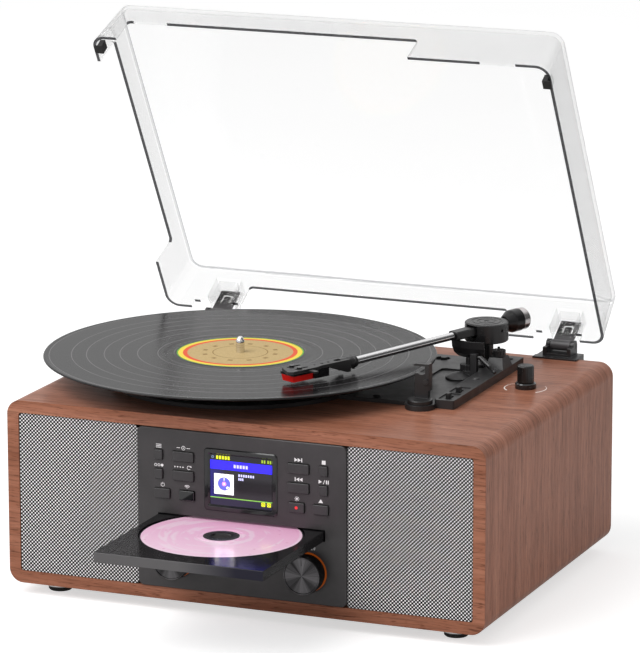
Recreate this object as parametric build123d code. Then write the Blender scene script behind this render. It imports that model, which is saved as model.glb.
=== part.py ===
from build123d import *
# Stereo music centre: a walnut cabinet with two speakers, a front panel with a disc player and a
# colour display, and a belt-driven turntable under a hinged clear cover.
# The origin is on the floor under the middle of the cabinet, +X to the right seen from the front,
# +Y to the back, +Z up.  Lengths are in millimetres.  The pose is the one in use: cover open, disc
# tray out and the stylus just over the record.  Nodes are written about the middle of their whole box.
from math import atan2, cos, pi, radians, sin, sqrt
import os

# ---------------------------------------------------------------- driving dimensions
# Cabinet
CAB_W = 384.0              # width over the rounded sides
CAB_D = 283.0              # depth, front edge to back edge
CAB_H = 142.0              # height without the feet
BOARD = 9.5                # wall of the veneered body
CORNER_R = 11.0            # outer radius of the four long edges
INNER_R = 2.0              # inner radius of the four long edges
FOOT_H = 9.0               # height of a foot
FOOT_R = 11.0              # radius of a foot's ring
FOOT_PAD_H = 3.5           # visible part of the rubber pad
FOOT_PAD_R = 9.2           # radius of the rubber pad
FOOT_IN_X = 31.0           # foot axis in from the side
FOOT_IN_Y = 24.0           # foot axis in from the front and back
FOOT_SCREW_R = 2.0         # screw through a foot
# Front
PANEL_W = 168.0            # width of the control panel
PANEL_T = 4.0              # thickness of the control panel's face
PANEL_PROUD = 1.5          # panel face in front of the cabinet's edge
PANEL_R = 4.5              # corner radius of the panel
PANEL_RIM = 5.0            # width of the panel's rim behind its face
SEAM = 0.4                 # gap between panel, grilles and wood
BAFFLE_T = 9.0             # thickness of the speaker baffle
BAFFLE_IN = 6.5            # baffle front behind the cabinet's front edge
GRILLE_T = 4.4             # thickness of a grille frame
GRILLE_RIM = 6.0           # width of the grille frame's border
CLOTH_T = 0.8              # thickness of the grille cloth
GRILLE_R = 1.5             # corner radius of a grille
PEG_R = 2.5                # radius of a grille peg
PEG_L = 5.0                # length of a grille peg
# Speakers
SPEAKER_R = 38.0           # radius of a speaker's flange
SPEAKER_HOLE_R = 33.0      # radius of the baffle hole
SPEAKER_DEPTH = 34.0       # basket depth behind the flange
MAGNET_R = 25.0            # magnet radius
MAGNET_T = 11.0            # magnet thickness
SPEAKER_SHEET = 1.2        # basket metal
# Display
SCREEN_W = 49.5            # visible screen width
SCREEN_H = 38.4            # visible screen height
SCREEN_Z = 106.2           # height of the screen's middle
BEZEL_RIM = 4.6            # width of the bezel around the screen
BEZEL_PROUD = 1.2          # bezel in front of the panel's face
GLASS_T = 1.5              # display glass thickness
LCD_T = 3.0                # thickness of the display module
# Buttons: all are as high as each other and stand proud alike
BUTTON_H = 7.4
BUTTON_SMALL_W = 6.6
BUTTON_WIDE_W = 17.0
BUTTON_MID_W = 12.3
BUTTON_PROUD = 1.6         # cap in front of the panel's face
BUTTON_GAP = 0.35          # gap round a cap
BUTTON_R = 0.8             # corner radius of a cap
BUTTON_TRAVEL = 0.8        # travel of a button
ROW_Z = (121.1, 106.4, 91.6)
# Disc player
TRAY_W = 133.0             # width of the disc tray
TRAY_OUT = 114.0           # travel, and how far the tray stands out of the panel
TRAY_TOP = 75.6            # height of the tray's top
TRAY_BAR_H = 7.4           # height of the tray's front bar
TRAY_BAR_T = 4.0           # thickness of the tray's front bar
TRAY_FLOOR = 1.6           # floor under the disc
TRAY_GAP = 0.7             # gap between tray and slot
SLED_RUN = 66.0            # pickup's rails behind the disc's axis
TRAY_TAIL = 17.0           # tray behind the disc's recess
DISC_R = 60.0
DISC_T = 1.2
DISC_BORE_R = 7.5
DISC_FRONT = 78.0          # disc axis behind the tray's front face
DISC_SINK = 1.1            # disc top under the tray top
DISC_LIFT = 0.1            # gap under the disc
DISC_GAP = 1.0             # gap round the disc in its recess
RACK_MODULE = 1.5          # tooth module of the tray's rack
PINION_TEETH = 12
RACK_BACKLASH = 0.5        # play between the teeth of rack and pinion
RACK_T = 2.8               # thickness of rack and pinion
# Front knobs
KNOB_R = 14.6
KNOB_OUT = 11.5            # knob face in front of the panel
KNOB_X = 53.0              # knob axes left and right of the middle
KNOB_Z = 42.8
KNOB_WELL_R = 15.6         # round recess behind a knob
KNOB_WELL_D = 1.6          # depth of that recess
KNOB_SHAFT_R = 3.0
LIGHT_RING_W = 1.2         # width of the lit ring
# Deck
SPINDLE_X = -56.1
SPINDLE_Y = -13.9
DECK_T = 3.0               # deck plate above the cabinet's top
DECK_ROUND_R = 100.0       # round part of the deck, round the platter
DECK_RIGHT = 131.0         # right edge of the deck
DECK_FRONT = -46.5         # front edge of the deck
DECK_BACK = 106.5          # back edge of the deck
RAIL_W = 16.5              # raised rail along the right edge
RAIL_H = 3.8               # rail above the deck plate
DECK_LIP = 6.0             # rim of the deck that hangs in the cabinet's opening
DECK_SINK = 0.6            # deck plate inside that rim under the cabinet's top
OPENING_IN = 8.0           # edge of the cabinet's opening in from the deck's outline
# Platter and record
PLATTER_R = 95.0
PLATTER_H = 9.0            # height of the platter's rim
PLATTER_WEB = 2.2          # thickness of the platter's plate
PLATTER_RIM = 3.0          # thickness of the platter's rim
PLATTER_LIFT = 4.3         # platter's rim above the deck plate
DRUM_R = 52.0              # radius of the drum that the belt runs on
DRUM_WALL = 2.0
MAT_T = 2.3
MAT_R = 93.0
RECORD_R = 150.5
RECORD_T = 2.0
LABEL_R = 50.0
SPINDLE_R = 3.4
SPINDLE_UP = 12.5          # spindle above the record
HUB_R = 9.0
RUN_GAP = 0.05             # radial clearance of shafts in bearings
MOTOR_R = 15.5
MOTOR_REACH = 70.0         # motor axis from the spindle
MOTOR_L = 26.0
MOTOR_ANGLE = 125.0        # motor axis, round the spindle from +X
MOTOR_SHAFT_R = 1.0
PULLEY_R = 5.5
BELT_T = 0.8
BELT_W = 4.0
BELT_GAP = 0.3             # belt to drum and pulley
# Tonearm
PIVOT_X = 107.0
PIVOT_Y = 87.5
ARM_UP = 32.4              # tube axis above the cabinet's top, at the pivot
ARM_TURN = 25.0            # tube direction in the pose, from straight ahead
ARM_TILT = 1.7             # tube slopes down to the front
ARM_REST_TURN = 0.6        # tube direction on its rest
TUBE_R = 3.0
TUBE_L = 147.0             # pivot to the front end of the collar
COLLAR_L = 8.5
COLLAR_R = 4.6
BLOCK_L = 36.0             # pivot to the front end of the square block
BLOCK_W = 9.4
BLOCK_H = 6.6
CAP_R = 17.0               # round housing over the pivot
CAP_TOP = 5.1              # housing top above the tube axis
CAP_H = 15.0
CAP_ROOF = 1.0             # housing wall over the arm
PITCH_GAP = 0.8            # room for the arm to tilt in its housing
PIN_R = 1.2                # tilt pins
YAW_SHAFT_R = 2.5
PILLAR_R = 5.5
STUB_R = 3.2               # rear stub that carries the counterweight
WEIGHT_FROM = 19.0         # pivot to the counterweight
WEIGHT_L = 21.5
WEIGHT_RING_L = 6.0        # bright end of the counterweight
WEIGHT_R = 8.8
HEAD_L = 63.0
HEAD_W = 19.4
HEAD_NECK_W = 9.6
HEAD_UP = 3.9              # headshell top above the tube's front end
HEAD_T = 2.4
HEAD_SKEW = 6.4            # front edge of the headshell falls back by this on the left
HEAD_SCREW = 4.2           # cartridge screws left and right of the headshell's middle
HEAD_SIDE = 3.2            # middle of the headshell's front part left of the tube's line
CARTRIDGE_FROM = 5.6       # cartridge's front behind the headshell's tip
CARTRIDGE_L = 35.2
CARTRIDGE_WIDE_L = 23.0    # front part of the cartridge, wider than the headshell's neck
CARTRIDGE_W = 15.0
CARTRIDGE_REAR_W = 9.0
HOLDER_FROM = 5.1          # stylus holder's front behind the headshell's tip
HOLDER_L = 20.9
HOLDER_UP = 2.0            # stylus holder's underside above the record
HOLDER_TOP = 6.9           # stylus holder's top above the record
STYLUS_GAP = 0.12          # stylus tip above the record
# Arm rest
REST_RADIUS = 133.0        # pivot to the rest
REST_BASE_R = 11.3
REST_POST_W = 10.5
REST_POST_T = 5.0
CLIP_T = 1.9               # keeper on the rest
CLIP_SCREW_R = 1.2
CLIP_X = 4.6               # keeper's screw right of the rest's middle
CLIP_DOWN = 8.0            # keeper's screw under the parked tube
# Top knob
TOP_KNOB_IN = 35.2         # top knob's axis in from the cabinet's side
TOP_KNOB_Y = 39.0
TOP_KNOB_R = 6.4
TOP_KNOB_H = 13.0
TOP_RING_R = 8.1
TOP_RING_H = 4.4
# Cover
LID_W = 372.6              # width at the rim
LID_D = 278.0              # depth at the rim
LID_H = 48.1               # rim to top
LID_DRAFT_X = 4.0          # the top is narrower by this on each side
LID_DRAFT_FRONT = 5.0
LID_DRAFT_BACK = 1.0
LID_WALL = 2.5
LID_CORNER_R = 11.0
LID_TOP_R = 4.0
LID_GAP = 1.2              # rim above the cabinet's top when shut
LID_BACK = 11.0            # back rim in front of the hinge axis
LID_OPEN = 60.0            # opening angle of the pose
HINGE_Y = 151.0
HINGE_UP = 8.0             # hinge axis above the cabinet's top
HINGE_X = 146.0
HINGE_W = 36.0
HINGE_PIN_R = 2.0
BARREL_R = 4.2             # barrel of a hinge blade
BLADE_W = 16.0
EAR_W = 3.1                # ear of a hinge base
EAR_GAP = 0.4              # blade's barrel in the ears and over the base
BLADE_T = 1.8
BLADE_L = 26.5
POCKET_W = 22.0
POCKET_FROM = 8.0          # lower end of a pocket above the hinge axis when shut
POCKET_L = 21.5
POCKET_WALL = 1.8
POCKET_GAP = 0.15          # blade in the pocket
# Back
BACK_T = 3.0               # back panel thickness
BACK_IN = 3.0              # back panel in from the cabinet's back edge
SCREW_R = 1.7              # back panel's screws

# ---------------------------------------------------------------- derived places
FRONT = -CAB_D / 2
BACK = CAB_D / 2
TOP = FOOT_H + CAB_H
TOP_KNOB_X = CAB_W / 2 - TOP_KNOB_IN
IN_LEFT = -CAB_W / 2 + BOARD
IN_RIGHT = CAB_W / 2 - BOARD
IN_LOW = FOOT_H + BOARD
IN_HIGH = TOP - BOARD
PANEL_FACE = FRONT - PANEL_PROUD
PANEL_BACK = PANEL_FACE + PANEL_T
DECK_Z = TOP + DECK_T
PLATTER_LOW = DECK_Z + PLATTER_LIFT
PLATTER_TOP = PLATTER_LOW + PLATTER_H
MAT_TOP = PLATTER_TOP + MAT_T
RECORD_TOP = MAT_TOP + RECORD_T
ARM_Z = TOP + ARM_UP
TRAY_LOW = TRAY_TOP - TRAY_BAR_H
TRAY_FRONT = PANEL_FACE - TRAY_OUT
DISC_Y = TRAY_FRONT + DISC_FRONT
DISC_TOP = TRAY_TOP - DISC_SINK
RECESS_Z = DISC_TOP - DISC_T - DISC_LIFT
HINGE_Z = TOP + HINGE_UP
MOTOR_X = SPINDLE_X + MOTOR_REACH * cos(radians(MOTOR_ANGLE))
MOTOR_Y = SPINDLE_Y + MOTOR_REACH * sin(radians(MOTOR_ANGLE))
HEAD_Z = ARM_Z - TUBE_L * sin(radians(ARM_TILT))


# ---------------------------------------------------------------- helpers
def block(x0, x1, y0, y1, z0, z1):
    """A box between two corners."""
    return Pos((x0 + x1) / 2, (y0 + y1) / 2, (z0 + z1) / 2) * Box(x1 - x0, y1 - y0, z1 - z0)


def rod(r, z0, z1, x=0, y=0):
    """A cylinder standing on z0."""
    return Pos(x, y, z0) * Cylinder(r, z1 - z0, align=(Align.CENTER, Align.CENTER, Align.MIN))


def rod_y(r, y0, y1, x=0, z=0):
    """A cylinder along Y."""
    return Pos(x, y0, z) * Rot(-90, 0, 0) * Cylinder(
        r, y1 - y0, align=(Align.CENTER, Align.CENTER, Align.MIN))


def rod_x(r, x0, x1, y=0, z=0):
    """A cylinder along X."""
    return Pos(x0, y, z) * Rot(0, 90, 0) * Cylinder(
        r, x1 - x0, align=(Align.CENTER, Align.CENTER, Align.MIN))


def tube(r_out, r_in, z0, z1, x=0, y=0):
    """A pipe standing on z0."""
    return rod(r_out, z0, z1, x, y) - rod(r_in, z0 - 1, z1 + 1, x, y)


def slab_y(w, h, r, y0, y1, x=0, z=0):
    """A plate with rounded corners in the XZ plane, from y0 back to y1."""
    face = RectangleRounded(w, h, r)
    return Pos(x, y1, z) * Rot(90, 0, 0) * extrude(face, y1 - y0)


def slab_z(w, d, r, z0, z1, x=0, y=0):
    """A plate with rounded corners in the XY plane."""
    return Pos(x, y, z0) * extrude(RectangleRounded(w, d, r), z1 - z0)


def spun(points, x=0, y=0):
    """A solid of revolution about a vertical axis, from (radius, height) points."""
    face = make_face(Polyline(*[(r, z) for r, z in points], close=True))
    solid = revolve(Plane.XZ * face, Axis.Z)
    return Pos(x, y, 0) * solid


def spun_y(points, x=0, z=0):
    """A solid of revolution about an axis along Y, from (radius, y) points."""
    face = make_face(Polyline(*[(r, y) for r, y in points], close=True))
    return Pos(x, 0, z) * revolve(face, Axis.Y)


def along_arm(shape):
    """Turns a level shape that points to -Y from the pivot into the arm's direction."""
    return Pos(PIVOT_X, PIVOT_Y, 0) * Rot(0, 0, -ARM_TURN) * shape


def down_arm(shape):
    """The same for a shape that follows the tube's slope."""
    return along_arm(Pos(0, 0, ARM_Z) * Rot(ARM_TILT, 0, 0) * Pos(0, 0, -ARM_Z) * shape)


def group(shapes):
    """Separate solids of one node."""
    return Compound(children=[solid for shape in shapes for solid in shape.solids()])


# ---------------------------------------------------------------- cabinet
def cabinet_shell():
    """One rounded tube of veneered board, open at the front and the back, with the deck's opening."""
    mid = FOOT_H + CAB_H / 2
    body = slab_y(CAB_W, CAB_H, CORNER_R, FRONT, BACK, 0, mid)
    body -= slab_y(CAB_W - 2 * BOARD, CAB_H - 2 * BOARD, INNER_R, FRONT - 1, BACK + 1, 0, mid)
    body -= deck_outline(OPENING_IN, IN_HIGH - 1, TOP + 1)
    body -= rod(KNOB_SHAFT_R + 1, IN_HIGH - 1, TOP + 1, TOP_KNOB_X, TOP_KNOB_Y)
    for x, y in foot_places():
        body -= rod(FOOT_SCREW_R, FOOT_H - 1, IN_LOW + 1, x, y)
    return body


def deck_outline(inset, z0, z1):
    """The deck's outline seen from above: a disc round the platter joined to a rectangle."""
    round_part = rod(DECK_ROUND_R - inset, z0, z1, SPINDLE_X, SPINDLE_Y)
    left = SPINDLE_X
    plate = slab_z(DECK_RIGHT - left - inset, DECK_BACK - DECK_FRONT - 2 * inset, 3.0, z0, z1,
                   (DECK_RIGHT - inset + left) / 2, (DECK_FRONT + DECK_BACK) / 2)
    return round_part + plate


def foot_places():
    """Axes of the four feet."""
    fx = CAB_W / 2 - FOOT_IN_X
    fy = CAB_D / 2 - FOOT_IN_Y
    return [(sx * fx, sy * fy) for sy in (-1, 1) for sx in (-1, 1)]


def foot_rings():
    """Polished rings of the four feet, screwed under the cabinet."""
    rings = []
    for x, y in foot_places():
        profile = [(FOOT_SCREW_R + 0.5, FOOT_H), (FOOT_R, FOOT_H), (FOOT_R, FOOT_PAD_H + 0.8),
                   (FOOT_R - 0.8, FOOT_PAD_H), (FOOT_PAD_R + 0.05, FOOT_PAD_H),
                   (FOOT_PAD_R + 0.05, FOOT_PAD_H + 2), (FOOT_SCREW_R + 0.5, FOOT_PAD_H + 2)]
        rings.append(spun(profile, x, y))
    return group(rings)


def foot_pads():
    """Rubber pads pushed into the rings."""
    pads = []
    for x, y in foot_places():
        profile = [(0, 0), (FOOT_PAD_R - 1, 0), (FOOT_PAD_R, 1), (FOOT_PAD_R, FOOT_PAD_H + 2),
                   (0, FOOT_PAD_H + 2)]
        pads.append(spun(profile, x, y))
    return group(pads)


def foot_screws():
    """Screws that hold the feet's rings to the cabinet's floor."""
    screws = []
    for x, y in foot_places():
        head = rod(FOOT_SCREW_R * 2, IN_LOW, IN_LOW + 2, x, y)
        screws.append(head + rod(FOOT_SCREW_R, FOOT_PAD_H + 3, IN_LOW, x, y))
    return group(screws)


# ---------------------------------------------------------------- grilles and speakers
GRILLE_IN = PANEL_W / 2 + SEAM
GRILLE_W = IN_RIGHT - SEAM - GRILLE_IN
GRILLE_H = IN_HIGH - IN_LOW - 2 * SEAM
GRILLE_X = (IN_RIGHT - SEAM + GRILLE_IN) / 2
GRILLE_Z = (IN_LOW + IN_HIGH) / 2
GRILLE_Y = FRONT + 0.3
BAFFLE_Y = FRONT + BAFFLE_IN


def grille_pegs():
    """Places of the four pegs of a grille, from its middle."""
    px = GRILLE_W / 2 - GRILLE_RIM
    pz = GRILLE_H / 2 - GRILLE_RIM
    return [(sx * px, sz * pz) for sz in (-1, 1) for sx in (-1, 1)]


def front_baffle():
    """Board behind the grilles with the speaker holes and the panel's opening."""
    board = slab_y(CAB_W - 2 * BOARD - 0.2, CAB_H - 2 * BOARD - 0.2, INNER_R, BAFFLE_Y,
                   BAFFLE_Y + BAFFLE_T, 0, GRILLE_Z)
    board -= slab_y(PANEL_W - 2 * PANEL_RIM, GRILLE_H - 2 * PANEL_RIM, PANEL_R, BAFFLE_Y - 1,
                    BAFFLE_Y + BAFFLE_T + 1, 0, GRILLE_Z)
    for side in (-1, 1):
        board -= rod_y(SPEAKER_HOLE_R, BAFFLE_Y - 1, BAFFLE_Y + BAFFLE_T + 1, side * GRILLE_X, GRILLE_Z)
        for dx, dz in grille_pegs():
            board -= rod_y(PEG_R + 0.1, BAFFLE_Y - 1, BAFFLE_Y + PEG_L + 0.5, side * GRILLE_X + dx,
                           GRILLE_Z + dz)
    return board


def grille_frame(side):
    """Open moulded frame with a cross bar each way and four pegs."""
    y0 = GRILLE_Y + CLOTH_T
    y1 = y0 + GRILLE_T
    x = side * GRILLE_X
    frame = slab_y(GRILLE_W - 2 * CLOTH_T, GRILLE_H - 2 * CLOTH_T, GRILLE_R, y0, y1, x, GRILLE_Z)
    frame -= slab_y(GRILLE_W - 2 * GRILLE_RIM, GRILLE_H - 2 * GRILLE_RIM, 3.0, y0 - 1, y1 + 1, x, GRILLE_Z)
    bar = 3.0
    frame += block(x - bar / 2, x + bar / 2, y0 + 1, y1, GRILLE_Z - GRILLE_H / 2 + 3,
                   GRILLE_Z + GRILLE_H / 2 - 3)
    frame += block(x - GRILLE_W / 2 + 3, x + GRILLE_W / 2 - 3, y0 + 1, y1, GRILLE_Z - bar / 2,
                   GRILLE_Z + bar / 2)
    for dx, dz in grille_pegs():
        frame += rod_y(PEG_R, y1 - 1, BAFFLE_Y + PEG_L, x + dx, GRILLE_Z + dz)
    return frame


def grille_cloth(side):
    """Woven cloth stretched over the frame's front and round its edges."""
    x = side * GRILLE_X
    y1 = GRILLE_Y + CLOTH_T + GRILLE_T
    cloth = slab_y(GRILLE_W, GRILLE_H, GRILLE_R + CLOTH_T, GRILLE_Y, y1, x, GRILLE_Z)
    cloth -= slab_y(GRILLE_W - 2 * CLOTH_T, GRILLE_H - 2 * CLOTH_T, GRILLE_R, GRILLE_Y + CLOTH_T, y1 + 1,
                    x, GRILLE_Z)
    return cloth


def speaker_basket(side):
    """Pressed basket with its flange behind the baffle, four windows and the magnet."""
    y0 = BAFFLE_Y + BAFFLE_T
    s = SPEAKER_SHEET
    rim = SPEAKER_HOLE_R - 1
    neck = MAGNET_R - 6
    end = y0 + SPEAKER_DEPTH
    profile = [(SPEAKER_R, y0), (SPEAKER_R, y0 + s), (rim, y0 + s), (rim - 3, y0 + 8), (neck + 2, end - s),
               (neck + 2, end), (6, end), (6, end - s), (neck, end - s), (rim - 4.5, y0 + 8),
               (rim - 1.5, y0)]
    basket = spun_y(profile, side * GRILLE_X, GRILLE_Z)
    for quarter in range(4):
        window = Pos(0, y0 + SPEAKER_DEPTH * 0.55, 0) * Rot(0, 45 + 90 * quarter, 0) * Pos(
            rim - 7, 0, 0) * Box(26, SPEAKER_DEPTH * 0.45, 20)
        basket -= Pos(side * GRILLE_X, 0, GRILLE_Z) * window
    magnet = [(4, end), (MAGNET_R, end), (MAGNET_R, end + MAGNET_T), (4, end + MAGNET_T)]
    return basket + spun_y(magnet, side * GRILLE_X, GRILLE_Z)


def speaker_cone(side):
    """Paper cone with a half-round surround and a domed dust cap."""
    y0 = BAFFLE_Y + BAFFLE_T
    r = SPEAKER_HOLE_R - 4.4
    profile = [(0, y0 + 13), (5, y0 + 13.6), (9, y0 + 15.5), (r - 5, y0 + 3.4), (r - 4, y0 + 1.4),
               (r - 2, y0 + 0.3),
               (r, y0 + 1.6), (r, y0 + 2.8), (r - 2, y0 + 1.5), (r - 3.6, y0 + 2.4), (r - 5, y0 + 5),
               (9.5, y0 + 17.5),
               (0, y0 + 16.5)]
    return spun_y(profile, side * GRILLE_X, GRILLE_Z)


# ---------------------------------------------------------------- front panel
SMALL_X = 66.2             # columns of the small and the wide buttons, left and right
WIDE_X = 46.2
LEFT_LOW_X = (-63.2, -43.4)
RIGHT_LOW_X = (44.9, 63.9)

BUTTONS = {
    "menu_button": (-SMALL_X, ROW_Z[0], BUTTON_SMALL_W),
    "info_button": (-WIDE_X, ROW_Z[0], BUTTON_WIDE_W),
    "mode_button": (-SMALL_X, ROW_Z[1], BUTTON_SMALL_W),
    "preset_button": (-WIDE_X, ROW_Z[1], BUTTON_WIDE_W),
    "standby_button": (LEFT_LOW_X[0], ROW_Z[2], BUTTON_MID_W),
    "next_button": (WIDE_X, ROW_Z[0], BUTTON_WIDE_W),
    "stop_button": (SMALL_X, ROW_Z[0], BUTTON_SMALL_W),
    "previous_button": (WIDE_X, ROW_Z[1], BUTTON_WIDE_W),
    "play_button": (SMALL_X, ROW_Z[1], BUTTON_SMALL_W),
    "light_button": (RIGHT_LOW_X[0], ROW_Z[2], BUTTON_MID_W),
    "eject_button": (RIGHT_LOW_X[1], ROW_Z[2], BUTTON_MID_W),
}
IR_PLACE = (LEFT_LOW_X[1], ROW_Z[2], BUTTON_MID_W)
SLOT_LOW = TRAY_LOW - TRAY_GAP
SLOT_HIGH = TRAY_TOP + TRAY_GAP
STEM_R = 1.6
BOARD_Y = PANEL_BACK + 10.0      # front of the circuit board behind the buttons


def front_panel():
    """Moulded panel with a rim, openings for display, buttons, tray and knobs, and screw bosses."""
    mid = GRILLE_Z
    panel = slab_y(PANEL_W, GRILLE_H, PANEL_R, PANEL_FACE, BAFFLE_Y, 0, mid)
    panel = chamfer(panel.faces().sort_by(Axis.Y)[0].edges(), 0.5)
    panel -= slab_y(PANEL_W - 2 * PANEL_RIM, GRILLE_H - 2 * PANEL_RIM, PANEL_R, PANEL_BACK, BAFFLE_Y + 1, 0,
                    mid)
    low, high = PANEL_FACE - 1, PANEL_BACK + 1
    panel -= slab_y(SCREEN_W + 2 * BEZEL_RIM - 2, SCREEN_H + 2 * BEZEL_RIM - 2, 2.0, low, high, 0, SCREEN_Z)
    for x, z, w in list(BUTTONS.values()) + [IR_PLACE]:
        panel -= slab_y(w + 2 * BUTTON_GAP, BUTTON_H + 2 * BUTTON_GAP, BUTTON_R + BUTTON_GAP, low, high, x,
                        z)
    panel -= block(-TRAY_W / 2 - TRAY_GAP, TRAY_W / 2 + TRAY_GAP, low, high, SLOT_LOW, SLOT_HIGH)
    for side in (-1, 1):
        panel -= rod_y(KNOB_WELL_R, low, PANEL_FACE + KNOB_WELL_D, side * KNOB_X, KNOB_Z)
        panel -= rod_y(KNOB_SHAFT_R + 0.5, low, high, side * KNOB_X, KNOB_Z)
    return panel


def button(x, z, w):
    """A key: a cap with a crowned face, a flange behind the panel and a stem."""
    back = PANEL_BACK + 1.6
    cap = slab_y(w, BUTTON_H, BUTTON_R, PANEL_FACE - BUTTON_PROUD, back, x, z)
    cap = fillet(cap.faces().sort_by(Axis.Y)[0].edges(), 0.5)
    cap += slab_y(w + 1.6, BUTTON_H + 1.6, BUTTON_R, PANEL_BACK + 0.2, back, x, z)
    return cap + rod_y(STEM_R, back - 0.5, BOARD_Y - BUTTON_TRAVEL - 0.6, x, z)


def display_bezel():
    """Bevelled frame round the screen."""
    w = SCREEN_W + 2 * BEZEL_RIM
    h = SCREEN_H + 2 * BEZEL_RIM
    y0 = PANEL_FACE - BEZEL_PROUD
    frame = slab_y(w, h, 3.0, y0, PANEL_FACE, 0, SCREEN_Z)
    frame = chamfer(frame.faces().sort_by(Axis.Y)[0].edges(), 0.8)
    frame += slab_y(w - 2.4, h - 2.4, 1.8, PANEL_FACE, PANEL_BACK, 0, SCREEN_Z)
    window = Pos(0, PANEL_BACK + 1, SCREEN_Z) * Rot(90, 0, 0) * extrude(
        RectangleRounded(SCREEN_W, SCREEN_H, 0.8), PANEL_BACK + 1 - y0 + 1)
    frame -= window
    bevel_w = 1.2
    outer = Plane.XZ.offset(-y0) * RectangleRounded(SCREEN_W + 2 * bevel_w, SCREEN_H + 2 * bevel_w, 1.2)
    inner = Plane.XZ.offset(-y0 - 1.6) * RectangleRounded(SCREEN_W, SCREEN_H, 0.8)
    frame -= Pos(0, 0, SCREEN_Z) * loft([outer, inner])
    return frame


def display_glass():
    """Cover glass of the display, seated behind the bezel's bevel."""
    y0 = PANEL_FACE - BEZEL_PROUD + 1.7
    return slab_y(SCREEN_W - 0.1, SCREEN_H - 0.1, 0.8, y0, y0 + GLASS_T, 0, SCREEN_Z)


def display_module():
    """Display module in its metal can behind the glass."""
    y0 = PANEL_FACE - BEZEL_PROUD + 1.7 + GLASS_T
    return slab_y(SCREEN_W - 0.1, SCREEN_H - 0.1, 0.8, y0, y0 + LCD_T, 0, SCREEN_Z)


def ir_window():
    """Dark window of the remote control's receiver."""
    x, z, w = IR_PLACE
    cap = slab_y(w, BUTTON_H, BUTTON_R, PANEL_FACE - BUTTON_PROUD, PANEL_BACK, x, z)
    cap = fillet(cap.faces().sort_by(Axis.Y)[0].edges(), 0.5)
    return cap + slab_y(w + 1.6, BUTTON_H + 1.6, BUTTON_R, PANEL_BACK, PANEL_BACK + 1.4, x, z)


def light_ring(side):
    """Translucent ring lit from behind, in the floor of a knob's recess."""
    y0 = PANEL_FACE + KNOB_WELL_D - 0.8
    y1 = PANEL_FACE + KNOB_WELL_D
    ring = rod_y(KNOB_WELL_R - 0.6, y0, y1, side * KNOB_X, KNOB_Z)
    return ring - rod_y(KNOB_WELL_R - 0.6 - LIGHT_RING_W, y0 - 1, y1 + 1, side * KNOB_X, KNOB_Z)


def front_knob(side):
    """Turned knob: a skirt, a waist groove, a chamfered rim and a dished face, with its socket."""
    face = PANEL_FACE - KNOB_OUT
    back = PANEL_FACE - 0.6
    r = KNOB_R
    profile = [(0, face + 0.5), (r - 1.4, face + 0.5), (r - 1.0, face), (r - 0.4, face), (r, face + 0.5),
               (r, back - 1.6), (r - 0.8, back - 1.0), (r - 0.8, back), (r - 3, back), (r - 3, face + 3.0),
               (6, face + 3.0), (6, back), (KNOB_SHAFT_R, back), (KNOB_SHAFT_R, face + 4.0),
               (0, face + 4.0)]
    knob = spun_y(profile, side * KNOB_X, KNOB_Z)
    mark = block(-0.4, 0.4, face - 1, face + 0.9, r - 6.5, r - 2.6)
    return knob - Pos(side * KNOB_X, 0, KNOB_Z) * mark


def knob_shaft(side):
    """Shaft of a front control, through the panel into its encoder."""
    face = PANEL_FACE - KNOB_OUT
    return rod_y(KNOB_SHAFT_R, face + 4.0, BOARD_Y - 2.0, side * KNOB_X, KNOB_Z)


def front_board():
    """Circuit board behind the front panel, with key switches and the knobs' encoders."""
    half = PANEL_W / 2 - PANEL_RIM - 4
    board = block(-half, half, BOARD_Y, BOARD_Y + 1.6, SLOT_HIGH + 3, IN_HIGH - PANEL_RIM - 4)
    for x, z, _ in BUTTONS.values():
        board += block(x - 3, x + 3, BOARD_Y - 0.5, BOARD_Y, z - 3, z + 3)
    return board


def encoders():
    """Rotary encoders of the two front knobs on their own small boards."""
    solids = []
    for side in (-1, 1):
        can = block(side * KNOB_X - 6.5, side * KNOB_X + 6.5, BOARD_Y - 5, BOARD_Y, KNOB_Z - 6.5,
                    KNOB_Z + 6.5)
        can += block(side * KNOB_X - 12, side * KNOB_X + 12, BOARD_Y, BOARD_Y + 1.6, KNOB_Z - 12,
                     KNOB_Z + 12)
        can -= rod_y(KNOB_SHAFT_R + RUN_GAP, BOARD_Y - 6, BOARD_Y - 1.5, side * KNOB_X, KNOB_Z)
        solids.append(can.solids()[0])
    return Compound(children=solids)


# ---------------------------------------------------------------- disc player
RAIL_GAP = 0.4                   # tray in its side rails
TRAY_BACK = DISC_Y + DISC_R + DISC_GAP + TRAY_TAIL
PINION_R = RACK_MODULE * PINION_TEETH / 2
RACK_BACKING = 3.0               # width of the rack behind its teeth
ADDENDUM = 0.85                  # tooth height over the pitch line, in modules
DEDENDUM = 1.25                  # tooth depth under the pitch line, in modules
FLANK = 0.364                    # tangent of the pressure angle
RACK_X = TRAY_W / 2 - 3.0        # outer face of the rack, inside the tray's right skirt
PINION_X = RACK_X - RACK_BACKING - RACK_MODULE * DEDENDUM - PINION_R
PINION_Y = PANEL_BACK + 16.0
PITCH = pi * RACK_MODULE
TOOTH_HALF = PITCH / 4 - RACK_BACKLASH / 2


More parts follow.
